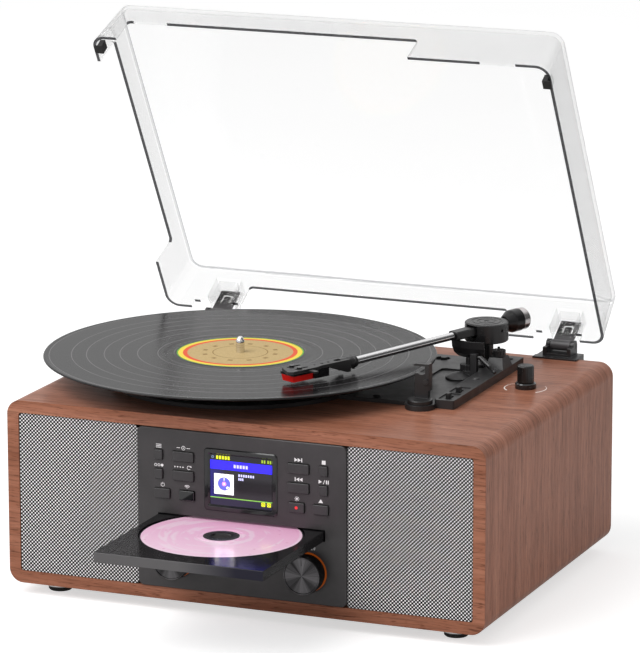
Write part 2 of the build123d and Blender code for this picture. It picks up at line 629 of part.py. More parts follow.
def cd_tray():
    """Disc tray: front bar, recessed plate with the slot for the drive's hub, side skirts and rack."""
    w = TRAY_W / 2
    tray = block(-w, w, TRAY_FRONT, TRAY_BACK, RECESS_Z - TRAY_FLOOR, TRAY_TOP)
    tray = fillet(tray.edges().filter_by(Axis.Z).group_by(Axis.Y)[-1], 8.0)
    tray += block(-w, w, TRAY_FRONT, TRAY_FRONT + TRAY_BAR_T, TRAY_LOW, TRAY_TOP)
    for side in (-1, 1):
        outer = side * w
        inner = side * (w - 2.0)
        tray += block(min(outer, inner), max(outer, inner), TRAY_FRONT, TRAY_BACK - 8, TRAY_LOW,
                      TRAY_TOP - 1)
    tray -= rod(DISC_R + DISC_GAP, RECESS_Z, TRAY_TOP + 1, 0, DISC_Y)
    tray -= rod(22.0, RECESS_Z - TRAY_FLOOR - 1, RECESS_Z + 1, 0, DISC_Y)
    tray -= block(-22.0, 22.0, DISC_Y, TRAY_BACK + 1, RECESS_Z - TRAY_FLOOR - 1, TRAY_TOP + 1)
    front_edge = tray.edges().filter_by(Axis.X).group_by(Axis.Y)[0].sort_by(Axis.Z)[-1]
    tray = fillet(front_edge, 0.6)
    return tray + tray_rack()


def tray_rack():
    """Toothed rack under the tray's right side, pointing to -X, with a tooth in the pinion's gap."""
    count = int(TRAY_OUT / PITCH) + 3
    start = PINION_Y - (count - 1.5) * PITCH
    root = RACK_MODULE * DEDENDUM
    depth = root + RACK_MODULE * ADDENDUM
    half_root = TOOTH_HALF + root * FLANK
    half_tip = TOOTH_HALF - RACK_MODULE * ADDENDUM * FLANK
    points = [(RACK_BACKING, start), (0, start)]
    for i in range(count):
        y = start + (i + 0.5) * PITCH
        points += [(0, y - half_root), (-depth, y - half_tip), (-depth, y + half_tip), (0, y + half_root)]
    end = start + count * PITCH
    points += [(0, end), (RACK_BACKING, end)]
    rack = extrude(make_face(Polyline(*points, close=True)), RACK_T)
    web = block(0, RACK_BACKING, start, end, RACK_T - 1, RECESS_Z - TRAY_FLOOR - TRAY_LOW + 0.5)
    return Pos(RACK_X - RACK_BACKING, 0, TRAY_LOW) * (rack + web)


def loading_gear():
    """Pinion that drives the tray."""
    tip = PINION_R + RACK_MODULE * ADDENDUM
    root = PINION_R - RACK_MODULE * DEDENDUM
    half_root = TOOTH_HALF + 0.3
    half_tip = TOOTH_HALF - RACK_MODULE * ADDENDUM * FLANK - 0.2
    points = []
    for i in range(PINION_TEETH):
        mid = (i + 0.5) * 2 * pi / PINION_TEETH
        for side, half, r in ((-1, half_root, root), (-1, TOOTH_HALF, PINION_R), (-1, half_tip, tip),
                              (1, half_tip, tip), (1, TOOTH_HALF, PINION_R), (1, half_root, root)):
            turn = mid + side * half / r
            points.append((r * cos(turn), r * sin(turn)))
    gear = extrude(make_face(Polyline(*points, close=True)), RACK_T - 0.6)
    gear = Pos(PINION_X, PINION_Y, TRAY_LOW + 0.3) * gear
    return gear - rod(2.0 + RUN_GAP, 0, TRAY_TOP, PINION_X, PINION_Y)


CHASSIS_LOW = TRAY_LOW - 7.0
CHASSIS_BACK = PANEL_BACK + 172.0


def cd_chassis():
    """Moulded frame of the disc drive: floor, side rails, clamp bridge and the pinion's stud."""
    w = TRAY_W / 2 + RAIL_GAP
    y0 = PANEL_BACK + 1.0
    frame = block(-w - 4, w + 4, y0, CHASSIS_BACK, CHASSIS_LOW, TRAY_TOP + 3)
    frame -= block(-w, w, y0 - 1, CHASSIS_BACK - 3, TRAY_LOW - RAIL_GAP, TRAY_TOP + 4)
    frame -= slab_z(60, 96, 6.0, CHASSIS_LOW - 1, TRAY_LOW + 1, 0, y0 + 80)
    bridge_y = DISC_Y + TRAY_OUT
    frame += block(-w - 4, w + 4, bridge_y - 14, bridge_y + 14, TRAY_TOP + 3, TRAY_TOP + 6)
    frame -= rod(14.0 + 0.5, TRAY_TOP + 2, TRAY_TOP + 7, 0, bridge_y)
    frame += rod(2.0, TRAY_LOW - RAIL_GAP - 1, TRAY_LOW + RACK_T, PINION_X, PINION_Y)
    return frame


def disc_drive():
    """Spindle motor and its hub under the loaded disc's middle."""
    bridge_y = DISC_Y + TRAY_OUT
    top = RECESS_Z - TRAY_FLOOR - 1.0
    hub = rod(7.0, CHASSIS_LOW + 2, top, 0, bridge_y)
    return hub + rod(12.0, CHASSIS_LOW - 6, CHASSIS_LOW + 2, 0, bridge_y)


def laser_sled():
    """Optical pickup on its carriage."""
    y = DISC_Y + TRAY_OUT + 30
    low = CHASSIS_LOW + 0.5
    sled = block(-13, 13, y - 9, y + 9, low, low + 4.5)
    sled += rod(3.2, low + 4.5, low + 6.0, 0, y)
    for x in (-17.0, 17.0):
        sled += block(x - 4.5, x + 4.5, y - 6, y + 6, low - 5, low + 3)
        sled -= rod_y(1.5 + RUN_GAP, y - 20, y + 20, x, low - 2)
    return sled


def sled_rails():
    """Two polished rails under the pickup and the plate that holds them and the spindle motor."""
    low = CHASSIS_LOW + 0.5 - 2
    y0 = DISC_Y + TRAY_OUT - 16
    y1 = DISC_Y + TRAY_OUT + SLED_RUN
    rails = block(-26, 26, y0 - 3, y0, CHASSIS_LOW - 8, CHASSIS_LOW)
    rails += block(-26, 26, y1, y1 + 3, CHASSIS_LOW - 8, CHASSIS_LOW)
    rails += block(-26, 26, y0 - 3, y1 + 3, CHASSIS_LOW - 9.5, CHASSIS_LOW - 7.5)
    for x in (-17.0, 17.0):
        rails += rod_y(1.5, y0 - 1, y1 + 1, x, low)
    return rails - rod(12.2, CHASSIS_LOW - 12, CHASSIS_LOW + 2, 0, DISC_Y + TRAY_OUT)


def compact_disc():
    """Disc with its bore and stacking ring."""
    low = DISC_TOP - DISC_T
    disc = rod(DISC_R, low, DISC_TOP, 0, DISC_Y) - rod(DISC_BORE_R, low - 1, DISC_TOP + 1, 0, DISC_Y)
    return disc + tube(17.6, 16.8, DISC_TOP, DISC_TOP + 0.15, 0, DISC_Y)


# ---------------------------------------------------------------- deck
REST_X = PIVOT_X - REST_RADIUS * sin(radians(ARM_REST_TURN))
REST_Y = PIVOT_Y - REST_RADIUS * cos(radians(ARM_REST_TURN))
REST_TUBE_Z = ARM_Z - REST_RADIUS * sin(radians(ARM_TILT))
RAIL_X = DECK_RIGHT - RAIL_W / 2
LIFT_X = 104.0
LIFT_Y = 57.5
LIFT_STEM_R = 2.5
SAUCER_R = 10.0
CUP_LEFT = 36.0            # reach of the lift cup round the pivot, left and right of straight ahead
CUP_RIGHT = 17.0
CUE_R = 1.4
CUE_X = 114.5
CUE_Y = 51.5
CUE_Z = DECK_Z + 14.0
SUNK = 1.4                 # depth of the deck's sunk floor
SUNK_W = 34.0
SUNK_D = 61.0
REST_BASE_Y = REST_Y - 5.0
BIAS_X = DECK_RIGHT - RAIL_W / 2 + 0.8
BIAS_Y = PIVOT_Y - 17.5
BIAS_FOOT_H = 8.2
BIAS_DIAL_H = 4.8
SPEED_Y = -33.0
AUTO_Y = -12.0
SWITCH_SLOT_L = 11.0
SWITCH_SLOT_W = 4.0
SWITCH_TRAVEL = 5.0


def deck_plate():
    """Moulded deck: round platter area, arm area with a sunk floor, raised rail and bosses."""
    deck = deck_outline(0, TOP, DECK_Z)
    deck += deck_outline(OPENING_IN + 0.4, TOP - DECK_LIP, TOP)
    deck -= deck_outline(OPENING_IN + 2.6, TOP - DECK_LIP - 1, TOP - DECK_SINK)
    deck += slab_z(RAIL_W, DECK_BACK - DECK_FRONT, 1.5, TOP, DECK_Z + RAIL_H, RAIL_X,
                   (DECK_FRONT + DECK_BACK) / 2)
    deck -= rod(REST_BASE_R + 0.4, DECK_Z, DECK_Z + RAIL_H + 1, REST_X, REST_BASE_Y)
    deck += rod(REST_BASE_R, TOP, DECK_Z + 1.0, REST_X, REST_BASE_Y)
    deck -= slab_z(SUNK_W, SUNK_D, 4.0, DECK_Z - SUNK, DECK_Z + 1, DECK_RIGHT - RAIL_W - 1 - SUNK_W / 2,
                   LIFT_Y + 7 - SUNK_D / 2)
    deck -= rod(6.5, DECK_Z - 2.0, DECK_Z + 1, PIVOT_X - 39, PIVOT_Y + 6.5)
    deck += rod(2.6, TOP, DECK_Z + 1.6, PIVOT_X - 37, PIVOT_Y + 5.5)
    deck += bias_foot()
    deck -= rod(8.0, TOP - 10, DECK_Z + 1, SPINDLE_X, SPINDLE_Y)
    deck -= rod(PULLEY_R + 2.0, TOP - 10, DECK_Z + 1, MOTOR_X, MOTOR_Y)
    deck -= rod(PILLAR_R, TOP - 10, DECK_Z + 1, PIVOT_X, PIVOT_Y)
    deck -= rod(LIFT_STEM_R + 1.0, TOP - 10, DECK_Z + 1, LIFT_X, LIFT_Y)
    for y in (SPEED_Y, AUTO_Y):
        deck -= slab_z(SWITCH_SLOT_W, SWITCH_SLOT_L, 1.2, TOP - 10, DECK_Z + RAIL_H + 1, RAIL_X, y)
        deck -= slab_z(RAIL_W - 5, SWITCH_SLOT_L + 9, 1.2, DECK_Z + RAIL_H - 1.0, DECK_Z + RAIL_H + 1,
                       RAIL_X, y)
    deck -= block(DECK_RIGHT - RAIL_W + 2.5, DECK_RIGHT - 2.5, SPEED_Y - 10, AUTO_Y + 16, TOP - 1,
                  DECK_Z + RAIL_H - 2.6)
    return deck


def deck_screws():
    """Screws that hold the deck down."""
    places = [(RAIL_X - 1, 26.0), (RAIL_X, DECK_BACK - 10), (40.0, DECK_BACK - 9), (66.0, DECK_FRONT + 8)]
    heights = [DECK_Z + RAIL_H, DECK_Z + RAIL_H, DECK_Z, DECK_Z]
    screws = []
    for (x, y), z in zip(places, heights):
        profile = [(0, z), (3.0, z), (2.6, z + 0.8), (1.4, z + 1.2), (0, z + 1.2)]
        screws.append(spun(profile, x, y).solids()[0])
    return Compound(children=screws)


def slide_switch(y):
    """Slide switch button in the rail."""
    z = DECK_Z + RAIL_H
    knob = slab_z(SWITCH_SLOT_W - 0.8, 5.2, 0.8, z - 3.0, z + 3.4, RAIL_X, y - SWITCH_TRAVEL / 2)
    knob = fillet(knob.faces().sort_by(Axis.Z)[-1].edges(), 0.6)
    return knob + block(RAIL_X - 4.5, RAIL_X + 4.5, y - SWITCH_TRAVEL / 2 - 5, y - SWITCH_TRAVEL / 2 + 5,
                        z - 4.6, z - 3.0)


def bearing_housing():
    """Flanged bush that carries the platter's spindle."""
    low = TOP - 32
    bore = SPINDLE_R + RUN_GAP
    outer = 7.4
    flange = 13.0
    profile = [(bore, low + 3), (bore, DECK_Z + 3.0), (outer, DECK_Z + 3.0), (outer, DECK_Z + 1.6),
               (flange, DECK_Z + 1.6),
               (flange, DECK_Z), (outer, DECK_Z), (outer, low), (0, low), (0, low + 3)]
    return spun(profile, SPINDLE_X, SPINDLE_Y)


def platter_spindle():
    """Steel spindle with a domed top."""
    low = TOP - 32 + 3.2
    top = RECORD_TOP + SPINDLE_UP
    r = SPINDLE_R
    with BuildPart() as part:
        with BuildSketch(Plane.XZ):
            with BuildLine():
                Line((0, low), (r, low))
                Line((r, low), (r, top - 5))
                Spline((r, top - 5), (r * 0.72, top - 1.6), (0, top), tangents=((0, 1), (-1, 0)))
                Line((0, top), (0, low))
            make_face()
        revolve(axis=Axis.Z)
    return Pos(SPINDLE_X, SPINDLE_Y, 0) * part.part


def platter():
    """Die-cast platter: plate, rolled rim, belt drum and hub, all open below."""
    top = PLATTER_TOP
    under = top - PLATTER_WEB
    hub_low = DECK_Z + 3.4
    r = PLATTER_R
    profile = [(SPINDLE_R, top), (r - 1.2, top), (r, top - 1.2), (r, PLATTER_LOW),
               (r - PLATTER_RIM, PLATTER_LOW),
               (r - PLATTER_RIM, under), (DRUM_R, under), (DRUM_R, PLATTER_LOW + 0.5),
               (DRUM_R - DRUM_WALL, PLATTER_LOW + 0.5),
               (DRUM_R - DRUM_WALL, under), (HUB_R, under), (HUB_R, hub_low), (SPINDLE_R, hub_low)]
    return spun(profile, SPINDLE_X, SPINDLE_Y)


def slip_mat():
    """Felt mat under the record."""
    return tube(MAT_R, SPINDLE_R + 0.3, PLATTER_TOP, MAT_TOP, SPINDLE_X, SPINDLE_Y)


def record_disc():
    """Twelve-inch record: raised rim bead, grooved band, run-out and label area."""
    low, high = MAT_TOP, RECORD_TOP
    r = RECORD_R
    band = 0.25
    profile = [(SPINDLE_R + 0.05, low), (r - 4, low), (r - 0.7, low + 0.3), (r, low + 0.8), (r, high - 0.8),
               (r - 0.5, high - 0.2),
               (r - 1.6, high), (r - 4.0, high - band), (LABEL_R + 9, high - band),
               (LABEL_R + 6, high - band - 0.15),
               (LABEL_R + 1, high - band), (LABEL_R, high), (SPINDLE_R + 0.05, high)]
    return spun(profile, SPINDLE_X, SPINDLE_Y)


PULLEY_LOW = PLATTER_LOW + 0.6


def platter_motor():
    """Flat motor hung under the deck by a plate."""
    high = TOP - DECK_LIP - 2
    motor = rod(MOTOR_R, high - MOTOR_L, high, MOTOR_X, MOTOR_Y)
    motor += tube(MOTOR_R, MOTOR_R - 2, high - 1, TOP - DECK_SINK, MOTOR_X, MOTOR_Y)
    motor += rod(4.0, high - 1, high + 3, MOTOR_X, MOTOR_Y)
    return motor - rod(MOTOR_SHAFT_R + RUN_GAP, high - 14, TOP, MOTOR_X, MOTOR_Y)


def motor_pulley():
    """Crowned pulley with its flanges on the motor's shaft."""
    r = PULLEY_R
    z = PULLEY_LOW
    high = TOP - DECK_LIP - 2
    profile = [(0, high - 13), (MOTOR_SHAFT_R, high - 13), (MOTOR_SHAFT_R, z - 4), (3.2, z - 4),
               (3.2, z - 1.2), (r + 1.0, z - 1.2),
               (r + 1.0, z - 0.4), (r - 0.3, z), (r, z + BELT_W / 2), (r - 0.3, z + BELT_W),
               (r + 1.0, z + BELT_W + 0.4),
               (r + 1.0, z + BELT_W + 1.0), (0, z + BELT_W + 1.0)]
    return spun(profile, MOTOR_X, MOTOR_Y)


def drive_belt():
    """Flat rubber belt round the platter's drum and the motor's pulley."""
    def loop(extra):
        big = DRUM_R + BELT_GAP + extra
        small = PULLEY_R + BELT_GAP + extra
        lean = atan2(sqrt(MOTOR_REACH ** 2 - (big - small) ** 2), big - small)
        place = Pos(SPINDLE_X, SPINDLE_Y) * Rot(0, 0, MOTOR_ANGLE)
        c, s = cos(lean), sin(lean)
        with BuildSketch() as sketch:
            with BuildLine():
                a = (big * c, big * s)
                b = (MOTOR_REACH + small * c, small * s)
                b2 = (MOTOR_REACH + small * c, -small * s)
                a2 = (big * c, -big * s)
                Line(a, b)
                ThreePointArc(b, (MOTOR_REACH + small, 0), b2)
                Line(b2, a2)
                ThreePointArc(a2, (-big, 0), a)
            make_face()
        return place * sketch.sketch
    ring = extrude(loop(BELT_T) - loop(0), BELT_W - 0.4)
    return Pos(0, 0, PULLEY_LOW + 0.2) * ring


# ---------------------------------------------------------------- tonearm
CAP_HIGH = ARM_Z + CAP_TOP
CAP_LOW = CAP_HIGH - CAP_H


def arm_pillar():
    """Fixed column of the tonearm with its bearing bore."""
    bore = YAW_SHAFT_R + RUN_GAP
    flange = 12.0
    profile = [(bore, TOP - 14), (bore, CAP_LOW - 0.6), (PILLAR_R - 0.8, CAP_LOW - 0.6),
               (PILLAR_R - 0.1, CAP_LOW - 2),
               (PILLAR_R - 0.1, DECK_Z + 5), (flange - 4, DECK_Z + 3), (flange, DECK_Z + 2),
               (flange, DECK_Z),
               (PILLAR_R - 0.1, DECK_Z), (PILLAR_R - 0.1, TOP - 14)]
    pillar = spun(profile, PIVOT_X, PIVOT_Y)
    return pillar - block(DECK_RIGHT - RAIL_W - 0.2, DECK_RIGHT, PIVOT_Y - 20, PIVOT_Y + 20, DECK_Z - 1,
                          DECK_Z + RAIL_H + 0.2)


def arm_housing():
    """Round pivot housing with concentric rings on its top, hollow, slotted along the arm."""
    r = CAP_R
    high = CAP_HIGH
    roof = CAP_ROOF
    wall = 2.4
    low = CAP_LOW
    profile = [(0, high - 0.4), (2.0, high - 0.4), (2.4, high), (6.0, high), (6.4, high - 0.4),
               (7.4, high - 0.4), (7.8, high),
               (10.6, high), (11.0, high - 0.4), (12.0, high - 0.4), (12.4, high), (r - 1.0, high),
               (r, high - 0.8),
               (r, low + 0.8), (r - 0.8, low), (0, low)]
    body = spun(profile)
    inner_low = ARM_Z - BLOCK_H / 2 - PITCH_GAP - 1.0
    body -= rod(r - wall, inner_low, high - roof)
    half = BLOCK_W / 2 + 0.8
    body -= block(-half, half, -r - 1, r + 1, inner_low, high - roof)
    for side in (-1, 1):
        a, b = side * (r - wall + 0.2), side * half
        body += block(min(a, b), max(a, b), -3.5, 3.5, inner_low - 0.2, high - roof + 0.2)
    body -= rod_x(PIN_R, -r - 1, r + 1, 0, ARM_Z)
    return along_arm(body)


def yaw_shaft():
    """Steel shaft under the housing, turning in the pillar."""
    return rod(YAW_SHAFT_R, TOP - 12, CAP_LOW, PIVOT_X, PIVOT_Y)


def tilt_pins():
    """Two steel pins that the arm tilts on."""
    outer = CAP_R - 1.0
    pins = []
    for side in (-1, 1):
        a = side * outer
        b = side * (BLOCK_W / 2 - 2.5)
        pins.append(along_arm(rod_x(PIN_R, min(a, b), max(a, b), 0, ARM_Z)).solids()[0])
    return Compound(children=pins)


def arm_block():
    """Square carrier that holds the tube in front and the threaded stub behind."""
    w, h = BLOCK_W / 2, BLOCK_H / 2
    body = block(-w, w, -BLOCK_L, CAP_R - 3, ARM_Z - h, ARM_Z + h)
    body = chamfer(body.edges().filter_by(Axis.Y), 1.0)
    body += rod_y(STUB_R, CAP_R - 3.5, WEIGHT_FROM + WEIGHT_L - 3, 0, ARM_Z)
    body -= rod_y(TUBE_R, -BLOCK_L - 1, -BLOCK_L + 14, 0, ARM_Z)
    for side in (-1, 1):
        a = side * (w + 1)
        b = side * (BLOCK_W / 2 - 3.0)
        body -= rod_x(PIN_R + RUN_GAP, min(a, b), max(a, b), 0, ARM_Z)
    return down_arm(body)


def arm_tube():
    """Polished straight tube."""
    shape = rod_y(TUBE_R, -TUBE_L + 2.0, -BLOCK_L + 14, 0, ARM_Z)
    return down_arm(shape - rod_y(TUBE_R - 0.6, -TUBE_L, -BLOCK_L + 15, 0, ARM_Z))


def arm_collar():
    """Locking collar of the headshell with a grip rib."""
    y1 = -TUBE_L + COLLAR_L
    r = COLLAR_R
    profile = [(TUBE_R, y1), (r - 0.8, y1), (r, y1 - 0.8), (r, y1 - 3), (r - 0.5, y1 - 3.4),
               (r - 0.5, y1 - 4.2), (r, y1 - 4.6),
               (r, -TUBE_L), (0, -TUBE_L), (0, -TUBE_L + 2.0), (TUBE_R, -TUBE_L + 2.0)]
    collar = spun_y(profile, 0, ARM_Z)
    return down_arm(collar + rod(1.2, ARM_Z - r - 0.9, ARM_Z - r + 1.0, 0, y1 - 2))


HEAD_TOP = HEAD_Z + HEAD_UP
HEAD_LOW = HEAD_TOP - HEAD_T


def on_head(shape):
    """Turns a shape that points to -Y from the collar's end into the headshell's direction."""
    return along_arm(Pos(0, -TUBE_L * cos(radians(ARM_TILT)), 0) * shape)


def headshell():
    """Headshell: slotted plate that widens to the front, socket, arched side walls, finger lift."""
    n, end = HEAD_NECK_W / 2, -HEAD_L
    right = HEAD_W / 2 - HEAD_SIDE
    left = right - HEAD_W
    start = -0.35
    outline = [(-n, start), (n, start), (n, -30), (right, -36), (right, end + 3), (right - 3, end),
               (left + 3, end + HEAD_SKEW),
               (left, end + HEAD_SKEW + 3), (left, -42), (-n, -30)]
    plate = Pos(0, 0, HEAD_LOW) * extrude(make_face(Polyline(*outline, close=True)), HEAD_T)
    for side in (-1, 1):
        plate -= slab_z(2.2, 13.0, 1.0, HEAD_LOW - 1, HEAD_TOP + 1, side * HEAD_SCREW - HEAD_SIDE, -47.0)
    for y, r in ((-19.0, 1.3), (-25.5, 1.3), (-33.0, 0.9)):
        plate -= rod(r, HEAD_LOW - 1, HEAD_TOP + 1, 0, y)
    plate -= slab_z(4.6, 7.0, 2.2, HEAD_LOW - 1, HEAD_TOP + 1, 0, -9.5)
    low = HEAD_Z - 5.6
    wall_end = end + CARTRIDGE_FROM + CARTRIDGE_L + 0.3
    with BuildSketch(Plane.YZ) as side_face:
        Polygon((start, HEAD_TOP), (start, low), (-4.0, low), (wall_end, HEAD_LOW - 0.8),
                (wall_end, HEAD_TOP),
                align=None)
    wall = 1.5
    for x in (n - wall, -n):
        plate += Pos(x, 0, 0) * extrude(side_face.sketch, wall)
    plate += rod_y(COLLAR_R - 0.1, -8.0, start, 0, HEAD_Z) - rod_y(2.0, -9.0, -1.5, 0, HEAD_Z)
    plate += block(right - 1.0, right + 7.0, -45.0, -41.0, HEAD_LOW, HEAD_LOW + 1.4)
    return on_head(plate)


CART_TOP = HEAD_LOW
HOLDER_Z = RECORD_TOP + HOLDER_TOP
HOLDER_BACK = -HEAD_L + HOLDER_FROM + HOLDER_L


def cartridge():
    """Cartridge under the headshell, stepped over its stylus holder, with its two fixing screws."""
    w = CARTRIDGE_W / 2
    rear = CARTRIDGE_REAR_W / 2
    front = -HEAD_L + CARTRIDGE_FROM
    low = RECORD_TOP + HOLDER_UP + 0.2
    wide_end = front + CARTRIDGE_WIDE_L
    body = block(-w, w, front, wide_end, HOLDER_Z, CART_TOP)
    body += block(-w, w, HOLDER_BACK + 0.1, wide_end, low, CART_TOP)
    body += block(HEAD_SIDE - rear, HEAD_SIDE + rear, wide_end - 1.0, front + CARTRIDGE_L, low, CART_TOP)
    for x in (-HEAD_SCREW, HEAD_SCREW):
        body += rod(1.9, HEAD_TOP, HEAD_TOP + 1.2, x, -49.0)
        body += rod(1.0, CART_TOP - 1, HEAD_TOP + 0.2, x, -49.0)
    return on_head(Pos(-HEAD_SIDE, 0, 0) * body)


def stylus_holder():
    """Red replaceable stylus holder: a block with a raked front, clipped under the cartridge."""
    front = -HEAD_L + HOLDER_FROM
    w = CARTRIDGE_W / 2 - 1.5
    low = RECORD_TOP + HOLDER_UP
    outline = [(front, HOLDER_Z), (front + 1.5, low), (HOLDER_BACK, low), (HOLDER_BACK, HOLDER_Z)]
    holder = extrude(Plane.YZ * make_face(Polyline(*outline, close=True)), 2 * w)
    return on_head(Pos(-w - HEAD_SIDE, 0, 0) * holder)


def stylus_tip():
    """Cantilever and diamond."""
    tip_y = -HEAD_L + 10.0
    low = RECORD_TOP + STYLUS_GAP
    bar = block(-0.5, 0.5, tip_y - 0.6, tip_y + 6.0, low + 0.8, low + HOLDER_UP + 0.2)
    cone = Pos(0, tip_y, low) * Cone(0.1, 0.5, 1.0, align=(Align.CENTER, Align.CENTER, Align.MIN))
    return on_head(Pos(-HEAD_SIDE, 0, 0) * (bar + cone))


def counterweight():
    """Balance weight: a cone that opens into a cylinder, bored for the stub."""
    y0 = WEIGHT_FROM
    r = WEIGHT_R
    bore = STUB_R + RUN_GAP
    profile = [(bore, y0), (r - 3.6, y0), (r - 0.3, y0 + 6), (r, y0 + 7),
               (r, y0 + WEIGHT_L - WEIGHT_RING_L),
               (bore, y0 + WEIGHT_L - WEIGHT_RING_L)]
    return down_arm(spun_y(profile, 0, ARM_Z))


def weight_ring():
    """Bright machined end of the balance weight, closed at the back."""
    y0 = WEIGHT_FROM + WEIGHT_L - WEIGHT_RING_L
    y1 = WEIGHT_FROM + WEIGHT_L
    r = WEIGHT_R - 0.3
    bore = STUB_R + RUN_GAP
    profile = [(bore, y0), (r, y0), (r, y1 - 0.8), (r - 0.8, y1), (0, y1), (0, y1 - 2.4), (bore, y1 - 2.4)]
    return down_arm(spun_y(profile, 0, ARM_Z))


# ---------------------------------------------------------------- arm lift and rest
LIFT_TRAVEL = 1.2
CUP_R = 32.4                     # outer radius of the lift cup round the arm's pivot
LIFT_TOP = ARM_Z - BLOCK_H / 2 - CUP_R * sin(radians(ARM_TILT)) - 0.6


def lift_base():
    """Saucer and knurled collar that guide the lift's stem, with the lever's bracket."""
    floor = DECK_Z - SUNK
    collar_top = DECK_Z + 7.0
    saucer = spun([(0, floor), (SAUCER_R - 0.5, floor), (SAUCER_R, floor + 1.2),
                   (SAUCER_R - 0.6, floor + 1.8),
                   (4.0, floor + 4.6), (0, floor + 5.0)], LIFT_X - 3.0, LIFT_Y - 15.5)
    collar = rod(7.0, floor, collar_top, LIFT_X, LIFT_Y)
    for i in range(18):
        turn = radians(20 * i)
        collar -= rod(0.55, DECK_Z + 2.0, collar_top + 1, LIFT_X + 7.1 * cos(turn),
                      LIFT_Y + 7.1 * sin(turn))
    bracket_x = DECK_RIGHT - RAIL_W - 1.4
    bracket = block(LIFT_X + 4.0, bracket_x, CUE_Y - 2.6, CUE_Y + 2.2, floor, CUE_Z + 2.6)
    bracket += block(LIFT_X - 2, bracket_x, CUE_Y - 2.6, CUE_Y + 2.2, floor, DECK_Z + 3.0)
    base = saucer + collar + bracket
    base += block(LIFT_X - 6, LIFT_X + 1, LIFT_Y - 14, LIFT_Y, floor, floor + 2.6)
    base -= rod(LIFT_STEM_R + RUN_GAP, floor - 1, collar_top + 1, LIFT_X, LIFT_Y)
    return base - rod_x(CUE_R + RUN_GAP, LIFT_X + 3.0, CUE_X + 1, CUE_Y, CUE_Z)


def lift_cup():
    """Curved lift shell centred on the arm's pivot, on its sliding stem."""
    top = LIFT_TOP
    floor = DECK_Z + 10.5
    r = CUP_R
    outline = [(r - 6.5, floor), (r - 2.5, floor + 3.5), (r - 0.5, floor + 8.5), (r, top), (r - 2.0, top),
               (r - 2.6, floor + 8.5), (r - 4.5, floor + 4.6), (r - 6.5, floor + 2.4),
               (r - 9.0, floor + 2.0),
               (r - 9.0, floor)]
    shell = revolve(Plane.XZ * make_face(Polyline(*outline, close=True)), Axis.Z,
                    revolution_arc=CUP_LEFT + CUP_RIGHT)
    shell = Pos(PIVOT_X, PIVOT_Y, 0) * Rot(0, 0, -90 - CUP_LEFT) * shell
    return shell + rod(LIFT_STEM_R, TOP - 6, floor + 1.5, LIFT_X, LIFT_Y)


CUE_BEND = Vector(CUE_X + 10.5, CUE_Y - 5.0, CUE_Z - 5.2)
CUE_TIP = Vector(CUE_X + 16.0, CUE_Y - 13.0, CUE_Z - 5.8)


def cue_lever():
    """Bent lever that raises the lift."""
    shaft = rod_x(CUE_R, LIFT_X + 3.4, CUE_X + 2.0, CUE_Y, CUE_Z)
    start = Vector(CUE_X + 1.0, CUE_Y, CUE_Z)
    return shaft + strut(start, CUE_BEND, 1.9) + strut(CUE_BEND, CUE_TIP,
                                                       1.5) + Pos(*CUE_BEND) * Sphere(1.9)


def strut(a, b, r):
    """A round bar between two points."""
    axis = b - a
    plane = Plane(origin=a, z_dir=axis)
    return extrude(plane * Circle(r), axis.length)


def lever_tip():
    """Bright sleeve on the end of the lever."""
    way = (CUE_TIP - CUE_BEND).normalized()
    end = CUE_TIP + way * 4.5
    return strut(CUE_TIP, end, 1.5) + Pos(*end) * Sphere(1.5)


def rest_post():
    """Arm rest: stepped foot, flat post and a saddle under the tube."""
    x, y = REST_X, REST_Y
    foot_low = DECK_Z + 1.0
    foot = rod(REST_BASE_R - 1.8, foot_low, foot_low + 3.2, x, REST_BASE_Y)
    post = fillet(foot.faces().sort_by(Axis.Z)[-1].edges(), 0.8)
    t = REST_POST_T / 2
    left = x - REST_POST_W / 2
    right = x + REST_POST_W / 2
    saddle = REST_TUBE_Z - TUBE_R - 0.4
    post += block(left, right, y - t, y + t, foot_low + 2, saddle + 1.0)
    post += block(x + TUBE_R + 1.0, right + 1.6, y - t, y + t, saddle - 12, REST_TUBE_Z + 5.4)
    post -= rod_y(TUBE_R + 1.4, y - t - 1, y + t + 1, x, REST_TUBE_Z + 1.0)
    return post - rod_y(CLIP_SCREW_R, y - t - 1, y + t + 1, x + CLIP_X, REST_TUBE_Z - CLIP_DOWN)


def rest_clip():
    """Hooked keeper on the front of the post, turning on its screw."""
    x, y = REST_X, REST_Y
    y1 = y - REST_POST_T / 2 - 0.3
    y0 = y1 - CLIP_T
    arch = TUBE_R + 0.6
    right = REST_POST_W / 2 + 1.6
    outline = [(right, -CLIP_DOWN - 2.6), (right, arch + 1.8), (-arch, arch + 1.8),
               (-arch - 2.4, arch + 0.6),
               (-arch - 0.6, arch - 0.1), (arch, arch), (arch + 0.4, -3.4), (CLIP_X - 2.4, -5.6),
               (CLIP_X - 2.4, -CLIP_DOWN - 2.6)]
    clip = Pos(x, y1, REST_TUBE_Z) * Rot(90, 0, 0) * extrude(make_face(Polyline(*outline, close=True)),
                                                             CLIP_T)
    return clip - rod_y(CLIP_SCREW_R + RUN_GAP, y0 - 1, y1 + 1, x + CLIP_X, REST_TUBE_Z - CLIP_DOWN)


def clip_screw():
    """Pivot screw of the keeper."""
    front = REST_Y - REST_POST_T / 2 - 0.3 - CLIP_T - 0.2
    place = (REST_X + CLIP_X, REST_TUBE_Z - CLIP_DOWN)
    return rod_y(2.1, front - 1.2, front, *place) + rod_y(CLIP_SCREW_R, front - 0.6,
                                                          REST_Y + REST_POST_T / 2, *place)


